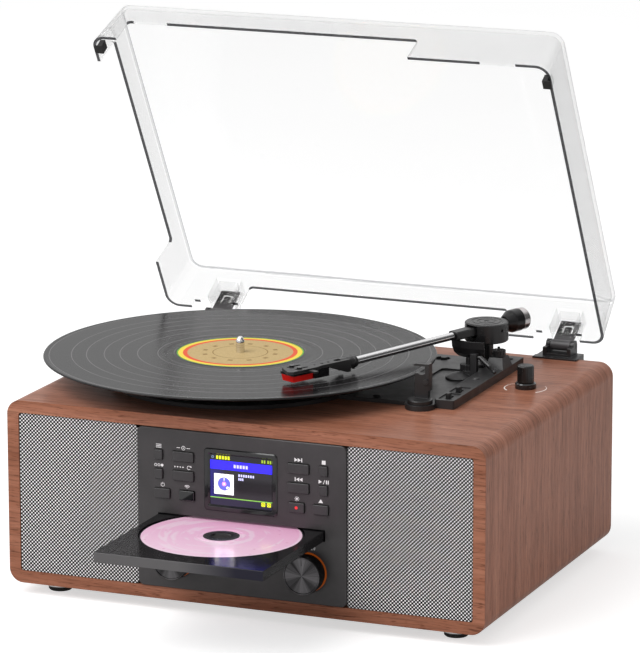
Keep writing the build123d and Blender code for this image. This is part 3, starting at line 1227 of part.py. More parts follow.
def bias_foot():
    """Tapered foot of the side-force dial, moulded on the rail."""
    z = DECK_Z + RAIL_H
    foot = Pos(BIAS_X, BIAS_Y,
               z) * loft([Rectangle(14.8, 20.0), Pos(0, 0, BIAS_FOOT_H) * Rectangle(10.6, 13.0)])
    return foot - rod(2.0 + RUN_GAP, z + 1.5, z + BIAS_FOOT_H + 1, BIAS_X, BIAS_Y)


def bias_dial():
    """Ribbed side-force dial with its shaft and a raised pointer."""
    z = DECK_Z + RAIL_H + BIAS_FOOT_H + 0.2
    dial = rod(5.4, z, z + BIAS_DIAL_H, BIAS_X, BIAS_Y) + rod(2.0, z - 4.0, z + 1, BIAS_X, BIAS_Y)
    for i in range(12):
        turn = radians(30 * i)
        dial -= rod(0.6, z + 1.0, z + BIAS_DIAL_H + 1, BIAS_X + 5.6 * cos(turn), BIAS_Y + 5.6 * sin(turn))
    pointer = Box(2.0, 8.0, 1.6, align=(Align.CENTER, Align.CENTER, Align.MIN))
    return dial + Pos(BIAS_X, BIAS_Y, z + BIAS_DIAL_H) * Rot(0, 0, 20) * pointer


# ---------------------------------------------------------------- top knob
def top_ring():
    """Collar of the top control on the cabinet."""
    profile = [(KNOB_SHAFT_R + 0.5, TOP), (TOP_RING_R, TOP), (TOP_RING_R, TOP + TOP_RING_H - 0.8),
               (TOP_RING_R - 0.8, TOP + TOP_RING_H),
               (KNOB_SHAFT_R + 0.5, TOP + TOP_RING_H)]
    return spun(profile, TOP_KNOB_X, TOP_KNOB_Y)


def top_knob():
    """Straight-knurled knob with its shaft."""
    low = TOP + TOP_RING_H + 0.4
    high = low + TOP_KNOB_H
    r = TOP_KNOB_R
    profile = [(0, low), (r, low), (r, high - 0.8), (r - 0.8, high), (0, high)]
    knob = spun(profile, TOP_KNOB_X, TOP_KNOB_Y)
    for i in range(12):
        a = radians(30 * i)
        knob -= rod(0.4, low + 1.2, high + 1, TOP_KNOB_X + (r + 0.2) * cos(a),
                    TOP_KNOB_Y + (r + 0.2) * sin(a))
    return knob + rod(KNOB_SHAFT_R, IN_HIGH - 6, low + 1, TOP_KNOB_X, TOP_KNOB_Y)


def top_control():
    """Rotary control under the cabinet's top."""
    can = rod(9.0, IN_HIGH - 11, IN_HIGH, TOP_KNOB_X, TOP_KNOB_Y)
    return can - rod(KNOB_SHAFT_R + RUN_GAP, IN_HIGH - 8, TOP, TOP_KNOB_X, TOP_KNOB_Y)


# ---------------------------------------------------------------- cover and hinges
RIM_Z = TOP + LID_GAP                      # rim height when shut
LID_TOP_Z = RIM_Z + LID_H
RIM_BACK = HINGE_Y - LID_BACK
RIM_FRONT = RIM_BACK - LID_D
NOTCH_FRONT_H = 24.0                       # rim of the front notch above the rim
NOTCH_LEFT_H = 26.5
NOTCH_BACK_H = 27.5
NOTCH_FRONT_X = (-165.0, 74.5)
NOTCH_LEFT_Y = (-113.0, 93.0)
NOTCH_BACK_X = (-124.0, 97.0)
POCKET_Z = HINGE_Z + POCKET_FROM            # lower mouth of a hinge pocket when shut
HINGE_NOTCH_H = 7.0                        # notch of the rim over a hinge's foot


def opened(shape):
    """Swings a shape of the shut cover back to the open pose."""
    return Pos(0, HINGE_Y, HINGE_Z) * Rot(-LID_OPEN, 0, 0) * Pos(0, -HINGE_Y, -HINGE_Z) * shape


def lid_shell(inset, low, high, top_r):
    """Tapered box with rounded edges, smaller at the top, drawn shut."""
    w0, d0 = LID_W - 2 * inset, LID_D - 2 * inset
    w1 = w0 - 2 * LID_DRAFT_X
    d1 = d0 - LID_DRAFT_FRONT - LID_DRAFT_BACK
    y0 = (RIM_FRONT + RIM_BACK) / 2
    y1 = y0 + (LID_DRAFT_FRONT - LID_DRAFT_BACK) / 2
    r = LID_CORNER_R - inset
    body = loft([Pos(0, y0, low) * RectangleRounded(w0, d0, r),
                 Pos(0, y1, high) * RectangleRounded(w1, d1, r)])
    return fillet(body.faces().sort_by(Axis.Z)[-1].edges(), top_r)


def dust_cover():
    """Clear moulded cover: drafted walls, notches for a record that overhangs, two hinge pockets."""
    cover = lid_shell(0, RIM_Z, LID_TOP_Z, LID_TOP_R)
    cover -= lid_shell(LID_WALL, RIM_Z - 0.001, LID_TOP_Z - LID_WALL, LID_TOP_R - LID_WALL + 0.6)
    deep = 12.0
    cover -= slab_y(NOTCH_FRONT_X[1] - NOTCH_FRONT_X[0], 2 * NOTCH_FRONT_H, 3.0, RIM_FRONT - 1,
                    RIM_FRONT + deep,
                    sum(NOTCH_FRONT_X) / 2, RIM_Z)
    cover -= slab_y(NOTCH_BACK_X[1] - NOTCH_BACK_X[0], 2 * NOTCH_BACK_H, 3.0, RIM_BACK - deep, RIM_BACK + 1,
                    sum(NOTCH_BACK_X) / 2, RIM_Z)
    cut = extrude(Plane.YZ * RectangleRounded(NOTCH_LEFT_Y[1] - NOTCH_LEFT_Y[0], 2 * NOTCH_LEFT_H, 3.0),
                  deep + 1)
    cover -= Pos(-LID_W / 2 - 1, sum(NOTCH_LEFT_Y) / 2, RIM_Z) * cut
    for side in (-1, 1):
        x = side * HINGE_X
        half = HINGE_W / 2 + 1.0
        cover -= block(x - half, x + half, RIM_BACK - 6, RIM_BACK + 1, RIM_Z - 1, RIM_Z + HINGE_NOTCH_H)
        pocket = block(x - POCKET_W / 2, x + POCKET_W / 2, RIM_BACK - 3.4,
                       HINGE_Y + BLADE_T / 2 + POCKET_WALL,
                       POCKET_Z, POCKET_Z + POCKET_L)
        slot = BLADE_W / 2 + POCKET_GAP
        pocket -= block(x - slot, x + slot, HINGE_Y - BLADE_T / 2 - POCKET_GAP,
                        HINGE_Y + BLADE_T / 2 + POCKET_GAP,
                        POCKET_Z - 1, HINGE_Z + BLADE_L + 0.4)
        pocket -= block(x - slot, x + slot, RIM_BACK + 0.8, HINGE_Y - BLADE_T / 2 - POCKET_WALL,
                        POCKET_Z - 1,
                        POCKET_Z + POCKET_L - POCKET_WALL)
        cover += pocket - lid_shell(LID_WALL, RIM_Z - 1, LID_TOP_Z - LID_WALL, 1.0)
    return opened(cover)


def hinge_blade(side):
    """Metal blade from the hinge's barrel into the cover's pocket, with a square window."""
    x = side * HINGE_X
    blade = block(x - BLADE_W / 2, x + BLADE_W / 2, HINGE_Y - BLADE_T / 2, HINGE_Y + BLADE_T / 2, HINGE_Z,
                  HINGE_Z + BLADE_L)
    blade -= block(x - 4.6, x + 4.6, HINGE_Y - 3, HINGE_Y + 3, HINGE_Z + 13, HINGE_Z + 23)
    blade += block(x - 2.6, x + 2.6, HINGE_Y - BLADE_T / 2, HINGE_Y + BLADE_T / 2, HINGE_Z + 12,
                   HINGE_Z + 20)
    blade += rod_x(BARREL_R, x - BLADE_W / 2, x + BLADE_W / 2, HINGE_Y, HINGE_Z)
    blade -= rod_x(HINGE_PIN_R + RUN_GAP, x - BLADE_W, x + BLADE_W, HINGE_Y, HINGE_Z)
    return opened(blade)


def hinge_base(side):
    """Hinge base screwed to the back edge: foot on the top, body down the back, two ears."""
    x = side * HINGE_X
    w = HINGE_W / 2
    foot = block(x - w, x + w, BACK - 7.5, BACK + 0.2, TOP, TOP + 1.4)
    body = block(x - w + 1, x + w - 1, BACK + 0.2, HINGE_Y + 4.5, TOP - 22, TOP + 1.4)
    base = foot + body
    ear_in = BLADE_W / 2 + EAR_GAP
    barrel = BARREL_R + EAR_GAP
    base += block(x - ear_in, x + ear_in, BACK - 2.0, HINGE_Y + 4.5, TOP, HINGE_Z - barrel)
    for s in (-1, 1):
        a, b = x + s * ear_in, x + s * (ear_in + EAR_W)
        ear = block(min(a, b), max(a, b), BACK - 2.0, HINGE_Y + 4.5, TOP, HINGE_Z)
        ear += rod_x(4.5, min(a, b), max(a, b), HINGE_Y, HINGE_Z)
        base += ear
    base -= rod_x(HINGE_PIN_R, x - w - 1, x + w + 1, HINGE_Y, HINGE_Z)
    for dz in (-8.0, -16.0):
        base -= rod_y(1.6, BACK - 1, HINGE_Y + 6, x, TOP + dz)
    return base


def hinge_pins():
    """Steel pins of the two hinges."""
    length = BLADE_W / 2 + EAR_GAP + EAR_W - 0.2
    pins = [rod_x(HINGE_PIN_R, s * HINGE_X - length, s * HINGE_X + length, HINGE_Y,
                  HINGE_Z).solids()[0] for s in (-1, 1)]
    return Compound(children=pins)


def lid_bumpers():
    """Rubber stops clipped inside the front corners of the cover, with a foot under the rim."""
    stops = []
    inner = LID_W / 2 - LID_WALL
    for side, back_off in ((-1, 9.0), (1, 14.0)):
        y = RIM_FRONT + back_off
        a, b = side * (inner - 1.0), side * (inner - 5.0)
        stop = block(min(a, b), max(a, b), y, y + 7.5, RIM_Z - 0.7, RIM_Z + 7.0)
        c = side * (inner + 1.9)
        stop += block(min(b, c), max(b, c), y, y + 7.5, RIM_Z - 0.7, RIM_Z)
        stops.append(opened(stop))
    return group(stops)


# ---------------------------------------------------------------- back and inside
def rear_panel():
    """Back panel with vents and openings for the sockets."""
    y1 = BACK - BACK_IN
    y0 = y1 - BACK_T
    panel = slab_y(CAB_W - 2 * BOARD - 0.4, CAB_H - 2 * BOARD - 0.4, INNER_R, y0, y1, 0, GRILLE_Z)
    for i in range(9):
        panel -= slab_y(2.4, 30.0, 1.1, y0 - 1, y1 + 1, -24 + 6 * i, GRILLE_Z + 22)
    panel -= slab_y(20.0, 9.0, 2.0, y0 - 1, y1 + 1, -140.0, 42.0)
    for x in JACK_X:
        panel -= rod_y(4.6, y0 - 1, y1 + 1, x, JACK_Z)
    panel -= rod_y(3.6, y0 - 1, y1 + 1, ANTENNA_X, JACK_Z)
    for x, z in rear_screw_places():
        panel -= rod_y(SCREW_R, y0 - 1, y1 + 1, x, z)
    return panel


JACK_X = (96.0, 110.0)
JACK_Z = 42.0
ANTENNA_X = 140.0


def rear_screw_places():
    """Places of the back panel's screws."""
    px = CAB_W / 2 - BOARD - 7
    pz = CAB_H / 2 - BOARD - 7
    return [(sx * px, GRILLE_Z + sz * pz) for sz in (-1, 1) for sx in (-1, 0, 1)]


def rear_cleats():
    """Corner cleats inside the cabinet that the back panel is screwed to."""
    y1 = BACK - BACK_IN - BACK_T
    inside = slab_y(CAB_W - 2 * BOARD, CAB_H - 2 * BOARD, INNER_R, y1 - 12, y1, 0, GRILLE_Z)
    cleats = []
    for x, z in rear_screw_places():
        cleat = block(x - 7, x + 7, y1 - 12, y1, z - 7, z + 7) - rod_y(SCREW_R, y1 - 13, y1 + 1, x, z)
        cleats.append(cleat & inside)
    return group(cleats)


def rear_screws():
    """Screws of the back panel."""
    y1 = BACK - BACK_IN
    screws = []
    for x, z in rear_screw_places():
        profile = [(0, y1 - 9), (SCREW_R, y1 - 9), (SCREW_R, y1), (3.2, y1), (2.8, y1 + 1.2), (0, y1 + 1.6)]
        screws.append(spun_y(profile, x, z))
    return group(screws)


def mains_inlet():
    """Two-pin mains inlet."""
    y1 = BACK - BACK_IN
    inlet = slab_y(19.8, 8.8, 2.0, y1 - 18, y1, -140.0, 42.0)
    inlet += slab_y(26.0, 13.0, 2.0, y1, y1 + 1.5, -140.0, 42.0)
    inlet -= slab_y(15.5, 6.4, 3.0, y1 - 12, y1 + 2, -140.0, 42.0)
    for x in (-143.5, -136.5):
        inlet += rod_y(1.1, y1 - 13, y1 - 2, x, 42.0)
    return inlet


def line_jacks():
    """Pair of line output sockets."""
    y1 = BACK - BACK_IN
    jacks = []
    for x in JACK_X:
        profile = [(1.6, y1 - 12), (4.5, y1 - 12), (4.5, y1), (5.6, y1), (5.6, y1 + 1.0), (4.1, y1 + 1.0),
                   (4.1, y1 + 2.9),
                   (1.6, y1 + 2.9)]
        jacks.append(spun_y(profile, x, JACK_Z).solids()[0])
    return Compound(children=jacks)


def antenna_socket():
    """Threaded aerial socket."""
    y1 = BACK - BACK_IN
    profile = [(0, y1 - 10), (3.5, y1 - 10), (3.5, y1), (5.0, y1), (5.0, y1 + 1.2), (3.4, y1 + 1.2),
               (3.4, y1 + 2.9), (1.0, y1 + 2.9),
               (1.0, y1), (0, y1)]
    return spun_y(profile, ANTENNA_X, JACK_Z)


def main_board():
    """Amplifier and radio board on the cabinet's floor, with its heat sink and capacitors."""
    z = IN_LOW + 6
    board = block(-80, 80, 40, 118, z, z + 1.6)
    for x, y in ((-75, 45), (75, 45), (-75, 113), (75, 113)):
        board += rod(3.5, IN_LOW, z, x, y)
    for i in range(5):
        board += block(20 + 6 * i, 22 + 6 * i, 85, 115, z + 3, z + 20)
    board += block(20, 46, 85, 115, z, z + 3.5)
    for x, y in ((-50, 60), (-30, 60), (-50, 80)):
        board += rod(6, z, z + 20, x, y)
    return board


def power_supply():
    """Mains power supply: board, transformer and a cage's base."""
    z = IN_LOW + 5
    supply = block(-172, -108, 40, 115, z, z + 1.6)
    supply += block(-160, -126, 60, 90, z, z + 26)
    for x, y in ((-168, 44), (-112, 44), (-168, 111), (-112, 111)):
        supply += rod(3.0, IN_LOW, z, x, y)
    return supply


# ---------------------------------------------------------------- output
SIDES = (-1, 1)


def build():
    """Every node by name, with the cabinet's middle at the origin."""
    nodes = {
        "cabinet_shell": cabinet_shell(),
        "foot_rings": group([foot_rings(), foot_screws()]),
        "foot_pads": foot_pads(),
        "front_baffle": front_baffle(),
        "speaker_grilles": group([make(s) for s in SIDES for make in (grille_frame, grille_cloth)]),
        "speaker_drivers": group([make(s) for s in SIDES for make in (speaker_basket, speaker_cone)]),
        "front_panel": front_panel(),
        "display_bezel": display_bezel(),
        "display_windows": group([display_glass(), ir_window()]),
        "knob_light_rings": group([light_ring(s) for s in SIDES]),
        "volume_knob": front_knob(-1) + knob_shaft(-1),
        "tuning_knob": front_knob(1) + knob_shaft(1),
        "electronics": group([front_board(), display_module(), encoders(), main_board(), power_supply()]),
        "rear_panel": group([rear_panel(), rear_cleats(), rear_screws()]),
        "rear_sockets": group([mains_inlet(), line_jacks(), antenna_socket()]),
        "cd_chassis": group([cd_chassis(), disc_drive(), laser_sled(), sled_rails()]),
        "cd_tray": cd_tray(),
        "compact_disc": compact_disc(),
        "loading_gear": loading_gear(),
        "deck_plate": group([deck_plate(), deck_screws()]),
        "speed_switch": slide_switch(SPEED_Y),
        "autostop_switch": slide_switch(AUTO_Y),
        "platter_motor": platter_motor(),
        "motor_pulley": motor_pulley(),
        "drive_belt": drive_belt(),
        "bearing_housing": bearing_housing(),
        "spindle": platter_spindle(),
        "platter": platter(),
        "slip_mat": slip_mat(),
        "record": record_disc(),
        "arm_pillar": arm_pillar(),
        "arm_yoke": group([arm_housing() + yaw_shaft(), tilt_pins()]),
        "arm_tube": group([arm_block(), arm_tube()]),
        "headshell": group([headshell(), arm_collar()]),
        "cartridge": cartridge(),
        "stylus": stylus_holder() + stylus_tip(),
        "counterweight": group([counterweight(), weight_ring()]),
        "lift_guide": lift_base(),
        "lift_cup": lift_cup(),
        "cue_lever": group([cue_lever(), lever_tip()]),
        "rest_post": group([rest_post(), clip_screw()]),
        "rest_clip": rest_clip(),
        "antiskate_dial": bias_dial(),
        "top_control": group([top_ring(), top_control()]),
        "top_knob": top_knob(),
        "dust_cover": dust_cover(),
        "lid_bumpers": lid_bumpers(),
        "hinge_blades": group([hinge_blade(s) for s in SIDES]),
        "hinge_bases": group([hinge_base(s) for s in SIDES] + [hinge_pins()]),
    }
    for name, place in BUTTONS.items():
        nodes[name] = button(*place)
    return nodes


def middle(shapes):
    """Middle of the whole part's box, seen from above."""
    boxes = [shape.bounding_box() for shape in shapes]
    x = (min(b.min.X for b in boxes) + max(b.max.X for b in boxes)) / 2
    y = (min(b.min.Y for b in boxes) + max(b.max.Y for b in boxes)) / 2
    return x, y


if __name__ == "__main__":
    os.makedirs("parts", exist_ok=True)
    all_nodes = build()
    mid_x, mid_y = middle(all_nodes.values())
    for node_name, node_shape in all_nodes.items():
        export_step(Pos(-mid_x, -mid_y, 0) * node_shape, f"parts/{node_name}.step")
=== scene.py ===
from math import cos, pi, radians, sin

import bpy
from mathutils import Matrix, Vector

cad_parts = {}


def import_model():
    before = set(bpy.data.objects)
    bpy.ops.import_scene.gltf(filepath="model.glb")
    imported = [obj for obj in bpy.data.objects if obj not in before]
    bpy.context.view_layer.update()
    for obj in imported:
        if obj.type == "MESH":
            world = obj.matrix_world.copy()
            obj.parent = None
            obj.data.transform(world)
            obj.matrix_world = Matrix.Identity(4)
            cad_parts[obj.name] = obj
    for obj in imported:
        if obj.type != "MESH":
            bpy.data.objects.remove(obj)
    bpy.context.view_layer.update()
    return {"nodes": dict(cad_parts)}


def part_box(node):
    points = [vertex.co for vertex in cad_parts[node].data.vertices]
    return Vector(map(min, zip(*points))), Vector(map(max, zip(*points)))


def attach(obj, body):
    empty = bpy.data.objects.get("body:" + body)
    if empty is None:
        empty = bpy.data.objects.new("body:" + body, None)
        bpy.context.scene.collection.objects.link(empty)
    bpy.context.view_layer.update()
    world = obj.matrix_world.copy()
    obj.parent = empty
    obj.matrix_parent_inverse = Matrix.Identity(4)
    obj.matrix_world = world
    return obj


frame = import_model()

MM = 0.001
shell_low, shell_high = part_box("cabinet_shell")
CABINET = Vector(((shell_low.x + shell_high.x) / 2, (shell_low.y + shell_high.y) / 2, 0.0))

# Camera, at the photograph's viewing angle.
CAMERA_AT = CABINET + Vector((1.27269, -3.06024, 0.95732))
CAMERA_TILT = 90 - 13.01
CAMERA_ROLL = 0.06
CAMERA_YAW = 22.38
CAMERA_LENS = 246.1
CAMERA_SENSOR = 36.0
CAMERA_SHIFT = (-0.01404, 0.00378)
CAMERA_CLIP = (0.1, 50.0)

# Light levels. Gloss sees a brighter world high up and a dim one on the right.
WORLD_DIFFUSE = 0.50
WORLD_GLOSSY = 0.72
WORLD_HIGHLIGHT = 1.1
WORLD_DIM = 0.12
FLOOR_GLOW = 0.60
FLOOR_GLOSS = 0.16
FLOOR_HALF = 6.0

# The two lamps: place, the point each aims at, size and power.
KEY_AT, KEY_AIM, KEY_SIZE, KEY_POWER = (-0.9, -1.3, 1.9), (0.0, 0.0, 0.12), (2.0, 2.0), 46.0
FILL_AT, FILL_AIM, FILL_SIZE, FILL_POWER = (1.9, -0.6, 0.9), (0.0, 0.0, 0.1), (1.0, 1.2), 2.5

# The share of a face's normal along y above which the face counts as a front or a back.
FRONTAL = 0.7

# The dust cover as it stands at rest, open: the way its rim faces, and how far the rim reaches that way.
COVER_OPENING = radians(60.0)
RIM_WAY = (0.0, -sin(COVER_OPENING), -cos(COVER_OPENING))
RIM_REACH = max(v.co.dot(Vector(RIM_WAY)) for v in frame["nodes"]["dust_cover"].data.vertices)
CUT_RUN = 38 * MM  # how far the notches' cut edges lie from the rim at most
WALL_LIMIT = 0.14  # a face whose normal has less than this along the rim's way is a drafted wall

# The cover's hinge pockets: their middle's distance from the cabinet's, and half their width.
BLADE_HALF = 8 * MM
blades_low, blades_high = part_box("hinge_blades")
HINGE_X = (blades_high.x - blades_low.x) / 2 - BLADE_HALF
POCKET_HALF = 14 * MM

# The tonearm's pivot, the level direction from it to the counterweight, and the distances from it at which
# the tube and the counterweight change their metal.
pillar_low, pillar_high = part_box("arm_pillar")
PIVOT = (pillar_low + pillar_high) / 2
ARM_YAW = radians(25.0)
ARM_WAY = Vector((sin(ARM_YAW), cos(ARM_YAW), 0.0))
TUBE_SPLIT = 36.2 * MM
WEIGHT_SPLIT = 34.5 * MM
SPLIT_BLUR = 0.35 * MM

# The record, radii in millimetres. A label band is its width in from the label's edge, and its colour.
record_low, record_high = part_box("record")
RECORD_CENTRE = (record_low + record_high) / 2
TRACK_GAPS = (63.0, 78.5, 92.0, 104.0, 117.5, 129.0, 146.0)
GAP_HALF = 0.55
LABEL_RADIUS = 48.6
LABEL_BANDS = ((8.1, (235, 97, 62)), (4.7, (250, 224, 84)), (1.0, (96, 170, 58)))
LABEL_LINE = 21.0
DOTS_COUNT, DOTS_FROM, DOTS_TO, DOTS_BLUR = 12.0, 26.0, 29.4, 0.2

# The compact disc, radii in millimetres.
disc_low, disc_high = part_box("compact_disc")
DISC_CENTRE = (disc_low + disc_high) / 2
DISC_RADIUS, PRINT_RADIUS, HUB_RADIUS, HUB_DARK = 60.0, 59.2, 13.6, 7.5
SPOTS_FROM, SPOTS_FULL = 38.0, 40.0

THREAD = 1.42 * MM  # width of one thread in the grilles' check
VIOLET_RUN = 45 * MM  # how far right of the middle the painted sheen on the tray's bar is fully violet


def grey(level):
    return (level, level, level, 1.0)


def rgb(red, green, blue):
    """A colour from its screen values, 0 to 255, as Blender's linear RGBA."""
    linear = [(v / 255 / 12.92) if v <= 10 else ((v / 255 + 0.055) / 1.055) ** 2.4 for v in (red, green, blue)]
    return (*linear, 1.0)


def shaded(colour, factor):
    """The colour lighter or darker by a factor, no part of it over 1."""
    return (*(min(1.0, c * factor) for c in colour[:3]), 1.0)


class Shader:
    """A new material's node tree, or a given tree, written as short calls that return sockets."""

    def __init__(self, name=None, tree=None):
        if tree is None:
            self.material = bpy.data.materials.new(name)
            self.material.use_nodes = True
            tree = self.material.node_tree
            tree.nodes.clear()
            self.output = tree.nodes.new("ShaderNodeOutputMaterial")
        self.tree = tree

    def feed(self, socket, value):
        if isinstance(value, bpy.types.NodeSocket):
            self.tree.links.new(value, socket)
        else:
            socket.default_value = value

    def node(self, kind, sockets=None, **settings):
        made = self.tree.nodes.new("ShaderNode" + kind)
        for key, value in settings.items():
            setattr(made, key, value)
        for key, value in (sockets or {}).items():
            self.feed(made.inputs[key], value)
        return made

    def math(self, operation, *values):
        return self.node("Math", dict(enumerate(values)), operation=operation).outputs[0]

    def plus(self, a, b):
        return self.math("ADD", a, b)

    def minus(self, a, b):
        return self.math("SUBTRACT", a, b)

    def times(self, a, b):
        return self.math("MULTIPLY", a, b)

    def over(self, a, b):
        """1 where a is greater than b, else 0."""
        return self.math("GREATER_THAN", a, b)

    def under(self, a, b):
        """1 where a is less than b, else 0."""
        return self.math("LESS_THAN", a, b)

    def absolute(self, a):
        return self.math("ABSOLUTE", a)

    def larger(self, a, b):
        return self.math("MAXIMUM", a, b)

    def place(self):
        """Object coordinates: the row frame's metres, carried along with the body."""
        return self.node("TexCoord").outputs["Object"]

    def true_normal(self):
        """The flat face's own direction, without bump or rounding."""
        return self.node("NewGeometry").outputs["True Normal"]

    def parts(self, vector):
        return self.node("SeparateXYZ", {0: vector}).outputs

    def join(self, x, y, z):
        return self.node("CombineXYZ", {0: x, 1: y, 2: z}).outputs[0]

    def scaled(self, vector, x, y, z):
        return self.node("VectorMath", {0: vector, 1: (x, y, z)}, operation="MULTIPLY").outputs[0]

    def along(self, vector, way):
        return self.node("VectorMath", {0: vector, 1: way}, operation="DOT_PRODUCT").outputs["Value"]

    def noise(self, vector, scale, detail=3.0, roughness=0.5, distortion=0.0):
        sockets = {"Vector": vector, "Scale": scale, "Detail": detail, "Roughness": roughness,
                   "Distortion": distortion}
        return self.node("TexNoise", sockets).outputs[0]

    def ramp(self, value, stops):
        """A colour ramp: stops are (place, colour or grey level)."""
        made = self.node("ValToRGB", {0: value})
        elements = made.color_ramp.elements
        while len(elements) < len(stops):
            elements.new(0.5)
        for element, (at, colour) in zip(elements, stops):
            element.position = at
            element.color = colour if isinstance(colour, tuple) else grey(colour)
        return made.outputs[0]

    def blend(self, factor, a, b):
        """A number between a and b."""
        return self.node("Mix", {0: factor, 2: a, 3: b}).outputs[0]

    def mix(self, factor, a, b, blend="MIX"):
        """A colour between a and b."""
        return self.node("Mix", {0: factor, 6: a, 7: b}, data_type="RGBA", blend_type=blend).outputs[2]

    def span(self, value, low, high, to_low=0.0, to_high=1.0):
        """Value from low to high, clamped, as to_low to to_high."""
        return self.node("MapRange", {0: value, 1: low, 2: high, 3: to_low, 4: to_high}).outputs[0]

    def near(self, value, at, inner, outer):
        """1 where value is within inner of at, falling to 0 at outer."""
        return self.span(self.absolute(self.minus(value, at)), inner, outer, 1.0, 0.0)

    def bump(self, height, distance, strength, normal=None):
        sockets = {"Height": height, "Distance": distance, "Strength": strength}
        if normal is not None:
            sockets["Normal"] = normal
        return self.node("Bump", sockets).outputs[0]

    def soft_edges(self, radius):
        """Normals rounded over the solid's edges, as a moulded or machined piece has them."""
        return self.node("Bevel", {"Radius": radius}, samples=4).outputs[0]

    def polar(self, a, b):
        """Radius in millimetres and angle of the point (a, b), given in metres."""
        squares = self.plus(self.times(a, a), self.times(b, b))
        return self.times(self.math("SQRT", squares), 1 / MM), self.math("ARCTAN2", b, a)

    def polar_round(self, centre):
        """Distance in millimetres from the vertical line through centre, and the angle round it."""
        part = self.parts(self.place())
        return self.polar(self.minus(part[0], centre.x), self.minus(part[1], centre.y))

    def circle(self, angle, radius):
        """The point at this angle on a circle, so that noise read there closes on itself."""
        return self.join(self.times(self.math("COSINE", angle), radius),
                         self.times(self.math("SINE", angle), radius), 0.0)

    def finish(self, **sockets):
        """The surface: a Principled shader with these sockets, spaces in their names as underscores."""
        named = {key.replace("_", " "): value for key, value in sockets.items()}
        self.surface(self.node("BsdfPrincipled", named))
        return self.material

    def surface(self, shader_node):
        self.tree.links.new(shader_node.outputs[0], self.output.inputs[0])


def moulded(name, colour, roughness, grain=0.04, edge=0.35, coat=0.0):
    """Moulded plastic: fine erosion texture, slightly uneven gloss, rounded edges. Grain and edge are in mm."""
    s = Shader(name)
    place = s.place()
    cloud = s.noise(place, 55.0, 3.0, 0.6)
    fine = s.noise(place, 2600.0, 2.0, 0.6)
    shade = s.mix(s.span(cloud, 0.35, 0.65), shaded(colour, 0.88), shaded(colour, 1.12))
    gloss = s.span(s.noise(place, 120.0, 4.0, 0.6), 0.3, 0.7, roughness * 0.88, roughness * 1.12)
    normal = s.bump(fine, grain * MM, 0.6, s.soft_edges(edge * MM))
    return s.finish(Base_Color=shade, Roughness=gloss, Normal=normal, Coat_Weight=coat)


def metal(name, colour, roughness, axis=(60.0, 60.0, 60.0)):
    """Bare metal with fine machining lines across the given scale."""
    s = Shader(name)
    lines = s.noise(s.scaled(s.place(), *axis), 40.0, 5.0, 0.7)
    shade = s.mix(s.span(lines, 0.3, 0.7), shaded(colour, 0.86), colour)
    gloss = s.span(lines, 0.3, 0.7, roughness * 0.7, roughness * 1.3)
    normal = s.bump(lines, 0.01 * MM, 0.4, s.soft_edges(0.25 * MM))
    return s.finish(Base_Color=shade, Metallic=1.0, Roughness=gloss, Normal=normal)


def walnut():
    """Walnut veneer that runs round the cabinet: the grain follows the wrap, and the front edge has its own."""
    s = Shader("walnut_veneer")
    x, y, z = s.parts(s.place())
    is_front = s.over(s.absolute(s.parts(s.true_normal())[1]), FRONTAL)
    across = s.blend(is_front, y, z)
    depth = s.blend(is_front, z, y)
    sway = s.noise(s.join(x, s.times(across, 3.0), depth), 7.0, 2.0, 0.5)
    bent = s.plus(across, s.times(s.minus(sway, 0.5), 12 * MM))

    def stretched(share):
        return s.join(s.times(x, share), bent, s.times(depth, share))

    grain_place = stretched(0.055)
    broad = s.noise(grain_place, 95.0, 4.0, 0.6)
    fibre = s.noise(grain_place, 520.0, 5.0, 0.72)
    pores = s.noise(stretched(0.09), 1150.0, 2.0, 0.5)
    base = s.ramp(broad, [(0.28, rgb(136, 85, 64)), (0.46, rgb(158, 103, 80)),
                          (0.60, rgb(168, 112, 89)), (0.78, rgb(181, 126, 101))])
    streak = s.ramp(fibre, [(0.34, 0.62), (0.52, 1.0), (0.75, 1.12)])
    coloured = s.mix(1.0, base, streak, "MULTIPLY")
    pore = s.ramp(pores, [(0.30, rgb(96, 56, 42)), (0.40, 1.0)])
    shade = s.mix(0.55, coloured, pore, "MULTIPLY")
    gloss = s.span(fibre, 0.3, 0.7, 0.36, 0.28)
    height = s.plus(s.times(fibre, 0.6), s.times(s.span(pores, 0.28, 0.42), 0.6))
    normal = s.bump(height, 0.06 * MM, 0.5, s.soft_edges(0.5 * MM))
    return s.finish(Base_Color=shade, Roughness=gloss, Normal=normal, Specular_IOR_Level=0.25, IOR=1.3)


def grille_weave():
    """Woven speaker cloth: white and black threads in a fine check."""
    s = Shader("grille_weave")
    x, _, z = s.parts(s.place())
    across, up = (s.math("SINE", s.times(way, pi / THREAD)) for way in (x, z))
    check = s.times(across, up)
    fluff = s.noise(s.place(), 1500.0, 2.0, 0.5)
    worn = s.plus(check, s.times(s.minus(fluff, 0.5), 0.15))
    shade = s.ramp(s.span(worn, -1.0, 1.0),
                   [(0.49, rgb(6, 5, 6)), (0.58, rgb(70, 68, 69)), (0.66, rgb(255, 253, 254))])
    normal = s.bump(s.absolute(check), 0.25 * MM, 0.8)
    return s.finish(Base_Color=shade, Roughness=0.75, Normal=normal, Specular_IOR_Level=0.2)


